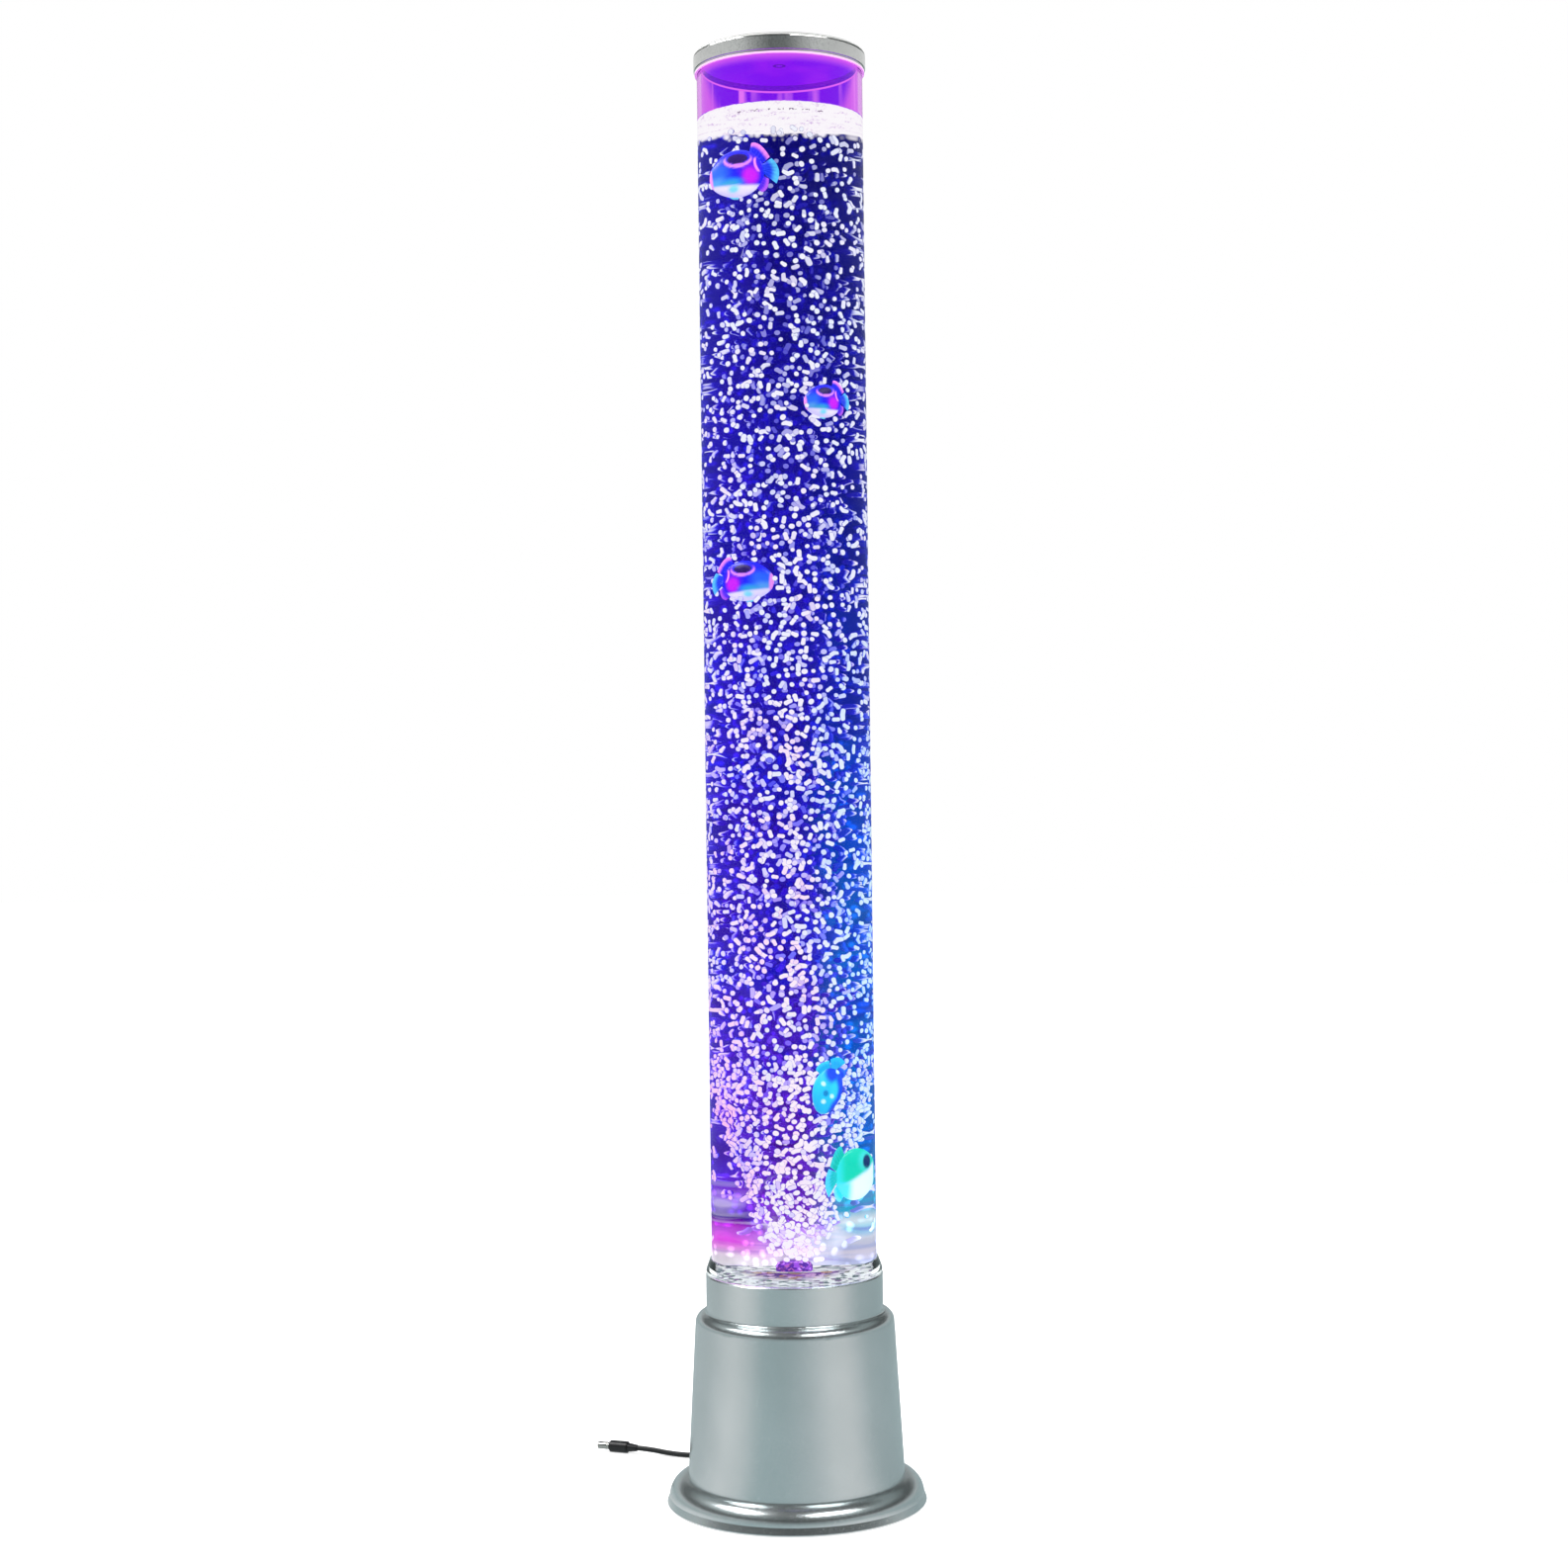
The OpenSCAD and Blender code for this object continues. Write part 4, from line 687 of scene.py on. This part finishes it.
def fishBody(length, height, skin):
    # rings from nose to tail root: x = l(0.5 - 0.78u), half height and half thickness swell and taper
    u = (1 - np.cos(np.linspace(0, np.pi, fishForm["rows"]))) / 2
    turn = np.arange(fishForm["sides"]) * 2 * np.pi / fishForm["sides"]
    x = length * (0.5 - 0.78 * u)[:, None] * np.ones_like(turn)
    tip = np.minimum(1, np.sqrt(np.clip(u * 30, 0, 1)) * np.sqrt(np.clip((1 - u) * 30, 0, 1)))
    tall = 0.42 * height * (0.1 + 0.9 * np.sqrt(np.clip(np.sin(np.pi * u**1.15), 0, 1))) * tip
    wide = fishForm["thickness"] / 2 * (0.12 + 0.88 * np.sin(np.pi * u**0.7)) * tip
    z = tall[:, None] * np.sin(turn)
    y = wide[:, None] * np.sign(np.cos(turn)) * np.abs(np.cos(turn))**0.8
    bulge = spot(x / length, z / height, (0.075, 0.24), (0.15, 0.09), edge=0.4)[..., 0]
    y = y + 0.45 * bulge * np.cos(turn)
    return (np.stack([x, y, z], -1).reshape(-1, 3), gridFaces(len(u), fishForm["sides"]),
            skin(x / length, z / height).reshape(-1, 3))

fishPlastic, add, coords = startMaterial("painted fish plastic")
paint = add("Attribute", attribute_name="paint").outputs["Color"]
scales = add("TexVoronoi", {"Vector": coords, "Scale": 1 / (1.6 * mm)})
relief = add("Bump", {"Height": scales, "Strength": 0.12, "Distance": 0.0002})
# the paint's glow is painted light, standing for the lamps' light on the fish inside the water
showShader(add, add("BsdfPrincipled", {"Base Color": paint, "Roughness": 0.3, "Normal": relief,
    "Emission Color": paint, "Emission Strength": 0.7}))

for node, fish in school.items():
    length, height, coat = fish["length"], fish["height"], coats[fish["coat"]]
    parts = [fishBody(length, height, coat["skin"])]
    parts += [finSheets(name, coat[name], length, height) for name in fins]
    starts = np.cumsum([0] + [len(p[0]) for p in parts])
    points = np.vstack([p[0] for p in parts])
    faces = [f for part, start in zip(parts, starts) for f in (part[1] + start).tolist()]
    dip, turn, azimuth = (math.radians(fish[k]) for k in ("dip", "turn", "azimuth"))
    # nose down by dip, turned about the vertical, then set out towards the wall as far as it fits
    half = (length * abs(math.cos(dip)) + height * abs(math.sin(dip))) / 2
    far, off = fishForm["wall"] - fishForm["room"], azimuth - turn
    out = min(math.sqrt(far**2 - (half * math.sin(off))**2) - half * abs(math.cos(off)),
              far - fishForm["thickness"] / 2)
    placing = (Matrix.Translation((out * math.cos(azimuth), out * math.sin(azimuth), fish["level"]))
               @ Matrix.Rotation(turn, 4, "Z") @ Matrix.Rotation(dip, 4, "Y"))
    m = np.array(placing)
    points = (points @ m[:3, :3].T + m[:3, 3]) * mm
    piece = makePiece(fish["body"].replace("_", "") + "Toy", points, faces, fishPlastic, fish["body"],
                      merge=False, colours=np.vstack([p[2] for p in parts]))
    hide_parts(node)
print("fish let in")

# foam on the water

foam = {"radius": 56.3, "under": 999.4, "top": 1002.4, "lump": 2.0, "rings": 44, "sides": 220}
chain = {"fromAxis": 0.043, "half": 0.0011, "step": 0.0042, "dash": 0.0024, "front": -0.03}  # metres

def foamSurface():
    # two polar sheets, the lower one hanging in lumps of the size of bubbles, joined at the rim
    u = np.linspace(0, 1, foam["rings"])[:, None]
    turn = np.arange(foam["sides"]) * 2 * np.pi / foam["sides"]
    r = foam["radius"] * u * np.ones_like(turn)
    x, y = r * np.cos(turn), r * np.sin(turn)
    lumps = (np.sin(x * 1.15 + np.sin(y * 0.7) * 1.6) * np.sin(y * 1.2 + np.sin(x * 0.9) * 1.7)
             + 0.6 * np.sin(x * 2.3 + y * 1.1) * np.sin(y * 2.6 - x * 0.7))
    edge = np.clip(0.35 + (1 - u) * 12, 0, 1)
    under = foam["under"] + foam["lump"] * lumps * 0.5 * edge
    top = foam["top"] + foam["lump"] * lumps * 0.35 * edge
    lower = np.stack([x, y, under * np.ones_like(x)], -1)
    upper = np.stack([x, y, top * np.ones_like(x)], -1)[::-1]
    return np.vstack([lower, upper]).reshape(-1, 3) * mm, gridFaces(2 * foam["rings"], foam["sides"])

foamMade, add, coords = startMaterial("foam lit from below")
cells = add("TexVoronoi", {"Vector": coords, "Scale": 1 / (4.2 * mm)}, feature="DISTANCE_TO_EDGE")
clump = add("TexNoise", {"Vector": coords, "Scale": 1 / (11 * mm), "Detail": 2.0})
gaps = add("MapRange", {"Value": cells, "From": (0.1, 0.0)})
often = add("MapRange", {"Value": clump, "From": (0.5, 0.68)})
marks = add("Math", {0: gaps, 1: often}, operation="MULTIPLY")
pale = add("Mix", {0: clump, 6: "#fffefc", 7: "#fff6fc"})
froth = add("Mix", {0: marks, 6: pale, 7: "#c8a0dc"})
# a chain of small dark bubbles stands in an arc near the front of the foam
x, y, _ = add("SeparateXYZ", {0: coords}).outputs
fromAxis = fromAxisOf(add, x, y)
onArc = add("Math", {0: fromAxis, 1: chain["fromAxis"], 2: chain["half"]}, operation="COMPARE")
step = add("Math", {0: x, 1: chain["step"]}, operation="PINGPONG")
dash = add("Math", {0: step, 1: chain["dash"]}, operation="LESS_THAN")
front = add("Math", {0: y, 1: chain["front"]}, operation="LESS_THAN")
frontDash = add("Math", {0: dash, 1: front}, operation="MULTIPLY")
inChain = add("Math", {0: onArc, 1: frontDash}, operation="MULTIPLY")
froth = add("Mix", {0: inChain, 6: froth, 7: "#8c7494"})
showShader(add, add("Emission", {"Color": froth, "Strength": 1.0}))
makePiece("foam", *foamSurface(), foamMade, "base")
print("foam laid")

# air gap above the water, filled with violet light

airGap = {
    "radius": 56.7,
    "bottom": 1003.4,
    "top": 1038.6,
    "violet": "#7c06f4",
    "lilac": "#dc78f4",
    "pink": "#f49cff",
    "ring": "#f284fc",
    "ringAt": 1.0376,  # metres up
    "ringHalf": 0.0008,
    "sides": 128,
    "lilacAside": (0.046, 0.056),  # metres aside at the level below, lilac fades in between them
    "lilacLevel": 1.03,
    "flare": 0.35,  # the lilac opens by this much for each metre up
    "haze": 0.04,
    "hazeLevels": (1.029, 1.0385),
}
airMade, add, coords = startMaterial("violet light in the air")
x, _, z = add("SeparateXYZ", {0: coords}).outputs
aside = add("Math", {0: x}, operation="ABSOLUTE")
flare = add("Math", {0: z, 1: -airGap["flare"], 2: aside}, operation="MULTIPLY_ADD")
startAt = tuple(side - airGap["flare"] * airGap["lilacLevel"] for side in airGap["lilacAside"])
sideShare = add("MapRange", {"Value": flare, "From": startAt}, interpolation_type="SMOOTHSTEP")
streak = add("TexNoise", {"Vector": add("VectorMath", {0: coords, 1: (120, 120, 6)},
    operation="MULTIPLY"), "Scale": 1.0, "Detail": 1.0})
streaks = add("MapRange", {"Value": streak, "From": (0.52, 0.7)})
wall = add("Mix", {0: sideShare, 6: airGap["violet"], 7: airGap["lilac"]})
wall = add("Mix", {0: streaks, 6: wall, 7: airGap["pink"]})
onRing = add("Math", {0: z, 1: airGap["ringAt"], 2: airGap["ringHalf"]}, operation="COMPARE")
wall = add("Mix", {0: onRing, 6: wall, 7: airGap["ring"]})
backSide = add("NewGeometry").outputs["Backfacing"]
under = add("MapRange", {"Value": z, "From": airGap["hazeLevels"], "To Min": airGap["haze"]},
    interpolation_type="SMOOTHSTEP")
wall = add("Mix", {0: backSide, 6: airGap["ring"], 7: wall})
glow = add("Emission", {"Color": wall, "Strength": 1.0})
shown = add("Math", {0: backSide, 1: under}, operation="MAXIMUM")
flat = add("Math", {0: add("Math", {0: z, 1: airGap["top"] * mm - 0.0004}, operation="LESS_THAN"),
    1: shown}, operation="MULTIPLY")
showOverClear(add, flat, glow)
radius, bottom, top = airGap["radius"], airGap["bottom"], airGap["top"]
airProfile = [(0, bottom), (radius, bottom), (radius, top - 0.5), (radius, top), (0, top)]
makePiece("airGapLight", *turned(np.array(airProfile) * mm, airGap["sides"]), airMade, "base")

# clear tube: cast acrylic with a flame-polished rim

tube = {"outer": 60.0, "inner": 57.0, "bottom": 150.0, "top": 1045.5, "edge": 0.4, "sides": 256}
# metres, then the bending of light at its outer wall, at its wet inner wall and above the water
wetting = {"top": 1.002, "innerWall": 0.0585, "outer": 1.49, "wet": 1.12, "dry": 1.2}
tubeMade, add, coords = startMaterial("cast acrylic")
x, y, z = add("SeparateXYZ", {0: coords}).outputs
fromAxis = fromAxisOf(add, x, y)
innerWall = add("Math", {0: fromAxis, 1: wetting["innerWall"]}, operation="LESS_THAN")
wet = add("Math", {0: z, 1: wetting["top"]}, operation="LESS_THAN")
wetWall = add("Math", {0: innerWall, 1: wet}, operation="MULTIPLY")
dryBend = add("MapRange", {"Value": wet, "To": (wetting["dry"], wetting["outer"])})
bend = add("MapRange", {"Value": wetWall, "To": (dryBend, wetting["wet"])})
# above the water the acrylic is tinted pink: painted light, the violet glow of the air gap in the wall
cast = add("Mix", {0: wet, 6: "#f6dcfb", 7: "#fdfdff"})
bent = add("BsdfRefraction", {"Color": cast, "Roughness": 0.0, "IOR": bend})
mirrored = add("BsdfGlass", {"Color": cast, "Roughness": 0.0, "IOR": bend})
polish = add("MapRange", {"Value": wet, "To": (1.0, 0.3)})
glassy = add("MixShader", {0: polish, 1: bent, 2: mirrored})
showGlass(add, glassy)
outer, inner, bottom, top, e = (tube[k] for k in ("outer", "inner", "bottom", "top", "edge"))
levels = np.linspace(bottom + 1, top - 1, 30)
tubeProfile = [(outer - e, bottom), (outer, bottom + e), *((outer, z) for z in levels), (outer, top - e),
               (outer - e, top), (inner + e, top), (inner, top - e),
               *((inner, z) for z in np.linspace(top - 1, bottom + 1, 30)),
               (inner, bottom + e), (inner + e, bottom), (outer - e, bottom)]
tubePiece = makePiece("tubeWall", *turned(np.array(tubeProfile) * mm, tube["sides"]), tubeMade, "base")
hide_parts("clear_tube")

ringMade, add, coords = startMaterial("clear acrylic ring")  # polished, with faint moulding waves
waves = add("TexNoise", {"Vector": coords, "Scale": 90.0, "Detail": 1.0})
relief = add("Bump", {"Height": waves, "Strength": 0.25, "Distance": 0.0005})
glassy = add("BsdfGlass", {"Color": "#fbfdfd", "Roughness": 0.03, "IOR": 1.3, "Normal": relief})
showGlass(add, glassy)
dress(ringMade, "tube_foot_ring")
print("tube drawn")

# silver paint on the base, collar and lid

silver = {"paint": "#c6cdce", "dark": "#b1babb", "flake": 0.5}
silverPaint, add, coords = startMaterial("silver paint on ABS")  # fine flakes under a satin lacquer
flakes = add("TexNoise", {"Vector": coords, "Scale": 1 / (silver["flake"] * mm), "Detail": 2.0})
cloud = add("TexNoise", {"Vector": coords, "Scale": 1 / (60 * mm), "Detail": 3.0})
tone = add("MapRange", {"Value": cloud, "From": (0.35, 0.65), "To Max": 0.35})
colour = add("Mix", {0: tone, 6: silver["paint"], 7: silver["dark"]})
rough = add("MapRange", {"Value": flakes, "To": (0.19, 0.31)})
peel = add("Bump", {"Height": flakes, "Strength": 0.12, "Distance": 0.00005})
showShader(add, add("BsdfPrincipled", {"Base Color": colour, "Metallic": 0.92, "Roughness": rough,
    "Normal": peel}))
dress(silverPaint, "base_housing", "tube_collar")

# metres up or from the axis: the painted shade bands along the upper edge and their foot, the flat top,
# and the lit inside
lidLook = {"shadeBands": (1.047, 1.05), "shadeBandsFoot": 1.0476, "top": (1.0493, 1.0496), "inside": 0.0595,
           "insideTop": 1.0465, "plugHole": 0.0036, "plugHoleHalf": 0.0011}
lidMetal, add, coords = startMaterial("brushed aluminium lid")
stretched = add("VectorMath", {0: coords, 1: (400, 400, 5000)}, operation="MULTIPLY")
lines = add("TexNoise", {"Vector": stretched, "Scale": 1.0, "Detail": 3.0})
x, y, z = add("SeparateXYZ", {0: coords}).outputs
# fine pits over the metal, and painted shade along its upper edge: a dark line, a bright line of plain
# metal, then darker metal over the rim and top
pits = add("TexNoise", {"Vector": coords, "Scale": 1 / (0.7 * mm), "Detail": 2.0})
pitted = add("MapRange", {"Value": pits, "From": (0.36, 0.5)})
metal = add("Mix", {0: pitted, 6: "#d2d2d0", 7: "#f4f4f2"})
level = add("MapRange", {"Value": z, "From": lidLook["shadeBands"]})
paintedShade = setStops(add("ValToRGB", {"Fac": level}), [(0.0, "#ffffff"), (0.22, "#7c7c7c"),
    (0.42, "#ffffff"), (0.76, "#8a8a8a")], "CONSTANT")
metal = add("Mix", {0: 1.0, 6: metal, 7: paintedShade}, blend_type="MULTIPLY")
onShadeBands = add("Math", {0: z, 1: lidLook["shadeBandsFoot"]}, operation="GREATER_THAN")
rough = add("MapRange", {"Value": lines, "To": (0.1, 0.24)})
rough = add("Mix", {0: onShadeBands, 2: rough, 3: 0.75})
# the flat top is lacquered to a paler satin
onTop = add("MapRange", {"Value": z, "From": lidLook["top"], "To": (1.0, 0.35)})
outside = add("BsdfPrincipled", {"Base Color": metal, "Metallic": onTop, "Roughness": rough})
fromAxis = fromAxisOf(add, x, y)
within = add("Math", {0: fromAxis, 1: lidLook["inside"]}, operation="LESS_THAN")
below = add("Math", {0: z, 1: lidLook["insideTop"]}, operation="LESS_THAN")
inside = add("Math", {0: within, 1: below}, operation="MULTIPLY")
# painted shade: the small hole of the filling plug shows as a dark ring
plugHole = add("Math", {0: fromAxis, 1: lidLook["plugHole"], 2: lidLook["plugHoleHalf"]},
    operation="COMPARE")
patch = add("TexNoise", {"Vector": coords, "Scale": 1 / (40 * mm), "Detail": 1.0})
patchShare = add("MapRange", {"Value": patch, "From": (0.45, 0.62)})
violet = add("Mix", {0: patchShare, 6: "#8208fa", 7: "#981efc"})
violet = add("Mix", {0: plugHole, 6: violet, 7: "#5c12bc"})
lit = add("Emission", {"Color": violet, "Strength": 1.0})
showShader(add, add("MixShader", {0: inside, 1: outside, 2: lit}))
dress(lidMetal, "lid", "fill_plug")

# the remaining finishes

def plainFinish(name, colour, roughness, grainSize, bump=0.1, metallic=0.0, alpha=1.0, variation=0.12,
        glow=0.0):
    # a moulded, rolled or cut surface: its tone and gloss drift with a grain of the given size in mm
    made, add, coords = startMaterial(name)
    grain = add("TexNoise", {"Vector": coords, "Scale": 1 / (grainSize * mm), "Detail": 4.0})
    darker = add("Mix", {0: 1.0, 6: colour, 7: "#b4b4b4"}, blend_type="MULTIPLY")
    share = add("MapRange", {"Value": grain, "From": (0.35, 0.65), "To Max": variation * 3})
    tone = add("Mix", {0: share, 6: colour, 7: darker})
    rough = add("MapRange", {"Value": grain, "To": (roughness - 0.08, roughness + 0.08)})
    normal = add("Bump", {"Height": grain, "Strength": bump, "Distance": 0.0002})
    settings = {"Base Color": tone, "Roughness": rough, "Normal": normal, "Metallic": metallic}
    if alpha < 1:
        settings["Alpha"] = alpha
    if glow:  # lit through by the lamps below
        settings.update({"Emission Color": tone, "Emission Strength": glow})
    showShader(add, add("BsdfPrincipled", settings))
    return made

# violet light leaks out along the seal's lower edge
sealMade, add, coords = startMaterial("metallised silicone seal")
level = add("MapRange", {"Value": add("SeparateXYZ", {0: coords}).outputs["Z"], "From": (1.035, 1.0377)})
bloom = add("TexNoise", {"Vector": coords, "Scale": 120.0, "Detail": 2.0})
rough = add("MapRange", {"Value": bloom, "To": (0.15, 0.3)})
coated = add("Math", {0: level, 1: 0.5}, operation="GREATER_THAN")
leak = setStops(add("ValToRGB", {"Fac": level}), [(0.0, "#b03cb4"), (0.14, "#f0b4f2"), (0.5, "#000000")],
    "CONSTANT")
# below the coating the seal's pink colour is painted light from the violet glow, like the leak
band = add("Mix", {0: coated, 6: "#d8a0dc", 7: "#e6e6e4"})
showShader(add, add("BsdfPrincipled", {"Base Color": band, "Roughness": rough, "Metallic": coated,
    "Emission Color": leak, "Emission Strength": 0.7}))
dress(sealMade, "lid_seal")

# rubber is dull, moulded plastic satin, nylon waxy, resin and hose glassy, steel and nickel glint
finishes = {  # colour, roughness, grain in mm, other settings, pieces
    "black moulded rubber": ("#17171a", 0.62, 0.6, {}, "rubber_feet pump_mounts pump_diaphragm"),
    "grey rubber": ("#5a5a5e", 0.6, 0.6, {}, "floor_seal fitting_seal valve_disc"),
    "black moulded ABS": ("#1b1b1e", 0.45, 0.8, {}, "bottom_plate pump_head board_parts mode_switch"),
    "grey moulded ABS": ("#6d6f73", 0.42, 0.8, {}, "pump_case pump_cover mode_button"),
    "brown nylon": ("#9c6a58", 0.4, 1.6, {"bump": 0.2, "glow": 0.6, "variation": 0.3},
                    "air_fitting"),
    "white nylon": ("#e6e6e2", 0.38, 1.0, {"bump": 0.05}, "fitting_nut"),
    "silicone hose": ("#dfe2de", 0.3, 2.0, {"bump": 0.03, "alpha": 0.55}, "upper_hose lower_hose"),
    "green polycarbonate": ("#7cc486", 0.2, 2.0, {"bump": 0.03, "alpha": 0.7}, "valve_body"),
    "zinc plated steel": ("#a9abae", 0.32, 0.3, {"bump": 0.05, "metallic": 1.0},
                          "collar_screws plate_screws light_screws board_screws pump_screws "
                          "pump_pivot_pin pump_arm"),
    "stacked electrical steel": ("#55585c", 0.45, 0.35, {"bump": 0.2, "metallic": 1.0}, "pump_core"),
    "sintered ferrite": ("#2c2c2f", 0.7, 0.4, {"bump": 0.15}, "pump_magnet"),
    "enamelled copper wire": ("#a8622c", 0.3, 0.5, {"bump": 0.3, "metallic": 1.0}, "pump_winding"),
    "green solder mask": ("#12452a", 0.35, 1.5, {"bump": 0.05}, "control_board"),
    "white solder mask": ("#e4e6e0", 0.35, 1.5, {"bump": 0.05}, "light_board"),
    "lamp resin": ("#f6efc2", 0.2, 1.5, {"bump": 0.02}, "light_lamps"),
    "red silicone wire": ("#9c1c1c", 0.45, 1.0, {"bump": 0.05}, "light_wires pump_wires"),
    "nickel plate": ("#c2c0bb", 0.18, 1.0, {"bump": 0.02, "metallic": 1.0}, "plug_barrel"),
    "clear tank floor": ("#e8ecf6", 0.2, 4.0, {"bump": 0.05}, "tank_floor"),
}
for name, (colour, roughness, grainSize, more, pieces) in finishes.items():
    dress(plainFinish(name, colour, roughness, grainSize, **more), *pieces.split())

# coarse grains fused together, lit from below
stoneMade, add, coords = startMaterial("sintered sand air stone")
grains = add("TexVoronoi", {"Vector": coords, "Scale": 1 / (1.7 * mm)})
pick = add("SeparateColor", {0: grains.outputs["Color"]})
tone = setStops(add("ValToRGB", {"Fac": pick}), [(0.0, "#4c1e86"), (0.3, "#8844b4"), (0.52, "#a0589c"),
    (0.7, "#c088e0"), (0.85, "#5a2a7a")], "CONSTANT")
relief = add("Bump", {"Height": grains, "Strength": 0.8, "Distance": 0.0006})
showShader(add, add("BsdfPrincipled", {"Base Color": tone, "Roughness": 0.9, "Normal": relief,
    "Emission Color": tone, "Emission Strength": 0.7}))
dress(stoneMade, "air_stone")
print("finishes on")

# floor, studio and light

studio = {"floor": "#f4f4f4", "floorGlow": 0.6, "mirrorGlow": 0.9, "keyLeft": 34.0, "keyRight": 26.0}
# what metal mirrors, by direction round the lamp from behind by its left to its front and right:
# dim where the photographer stands, bright boards at both sides
rooms = {
    "walls": [
        (0.0, "#eef0f0"), (0.25, "#f6f7f7"), (0.36, "#eaecec"), (0.43, "#a6a8a8"), (0.47, "#727474"),
        (0.53, "#727474"), (0.57, "#a6a8a8"), (0.64, "#eaecec"), (0.75, "#f6f7f7"), (1.0, "#eef0f0")],
    "ground": [
        (0.0, "#a4b2b4"), (0.2, "#b6bebf"), (0.3, "#dedfdf"), (0.35, "#cfd3d3"), (0.4, "#a2b4b6"),
        (0.47, "#a2b3b5"), (0.53, "#b8c2c4"), (0.6, "#dddede"), (0.66, "#dcdcdc"), (0.74, "#a8b5b7"),
        (0.85, "#9eaeb0"), (1.0, "#a4b2b4")],
}

def roomShade(add, coords, room):
    x, y, _ = add("SeparateXYZ", {0: coords}).outputs
    back = add("Math", {0: y, 1: -1.0}, operation="MULTIPLY")
    angle = add("Math", {0: x, 1: back}, operation="ARCTAN2")
    part = add("MapRange", {"Value": angle, "From": (-math.pi, math.pi)})
    return setStops(add("ValToRGB", {"Fac": part}), rooms[room])

floorMade, add, coords = startMaterial("white studio floor")
shade = roomShade(add, coords, "ground")
seen = seenStraight(add)
mirrored = add("Math", {0: add("LightPath").outputs["Is Glossy Ray"], 1: seen}, operation="SUBTRACT",
    use_clamp=True)
white = add("Math", {0: seen, 1: studio["floorGlow"]}, operation="MULTIPLY")
lift = add("Math", {0: mirrored, 1: studio["mirrorGlow"], 2: white}, operation="MULTIPLY_ADD")
glowColour = add("Mix", {0: mirrored, 6: "#ffffff", 7: shade})
darkened = add("Mix", {0: 0.3, 6: "#000000", 7: shade})
ground = add("Mix", {0: mirrored, 6: studio["floor"], 7: darkened})
showShader(add, add("BsdfPrincipled", {"Base Color": ground, "Roughness": 0.9, "Specular IOR Level": 0.0,
    "Emission Color": glowColour, "Emission Strength": lift}))
floorMesh = bpy.data.meshes.new("floor")
floorMesh.from_pydata([(-9, -9, 0), (9, -9, 0), (9, 9, 0), (-9, 9, 0)], [], [(0, 1, 2, 3)])
floorMesh.materials.append(floorMade)
floorPiece = bpy.data.objects.new("floor", floorMesh)
scene.collection.objects.link(floorPiece)

def softBox(name, place, target, size, power):
    # hung above head height, so that the upright tube doesn't mirror it towards the camera
    lamp = bpy.data.lights.new(name, "AREA")
    lamp.shape = "RECTANGLE"
    lamp.size, lamp.size_y = size
    lamp.energy = power
    box = bpy.data.objects.new(name, lamp)
    box.location = place
    box.rotation_mode = "QUATERNION"
    box.rotation_quaternion = (Vector(target) - box.location).to_track_quat("-Z", "Y")
    scene.collection.objects.link(box)

softBox("keyLeft", (-1.36, -0.2, 2.1), (0, 0, 0.2), (1.3, 0.4), studio["keyLeft"])
softBox("keyRight", (0.95, -1.0, 2.1), (0, 0, 0.2), (1.3, 0.35), studio["keyRight"])

world = bpy.data.worlds.new("studio")
scene.world = world
world.use_nodes = True
world.node_tree.nodes.clear()
add = partial(addNode, world.node_tree)
seen = seenStraight(add)
shade = roomShade(add, add("TexCoord").outputs["Generated"], "walls")
# between the walls and the lamps, and straight above, the room is dark
upwards = add("SeparateXYZ", {0: add("TexCoord").outputs["Generated"]}).outputs["Z"]
# low down the walls catch the pale floor's light
nearGround = add("MapRange", {"Value": upwards, "From": (0.25, 0.12), "To Max": 0.9})
shade = add("Mix", {0: nearGround, 6: shade, 7: "#b4c8ca"})
dusk = setStops(add("ValToRGB", {"Fac": upwards}), [(0.0, "#ffffff"), (0.26, "#ffffff"),
    (0.31, "#101c1c"), (0.5, "#101c1c"), (0.6, "#a4b0b0"), (0.74, "#a4b0b0"), (0.82, "#101c1c")])
shade = add("Mix", {0: 1.0, 6: shade, 7: dusk}, blend_type="MULTIPLY")
plain = add("Mix", {0: add("LightPath").outputs["Is Glossy Ray"], 6: "#dcdcdc", 7: shade})
soft = add("Background", {"Color": plain, "Strength": 0.85})
white = add("Background", {"Color": "#ffffff", "Strength": 1.0})
add("OutputWorld", {"Surface": add("MixShader", {0: seen, 1: soft, 2: white})})
scene.view_settings.view_transform = "Standard"
print("studio lit")
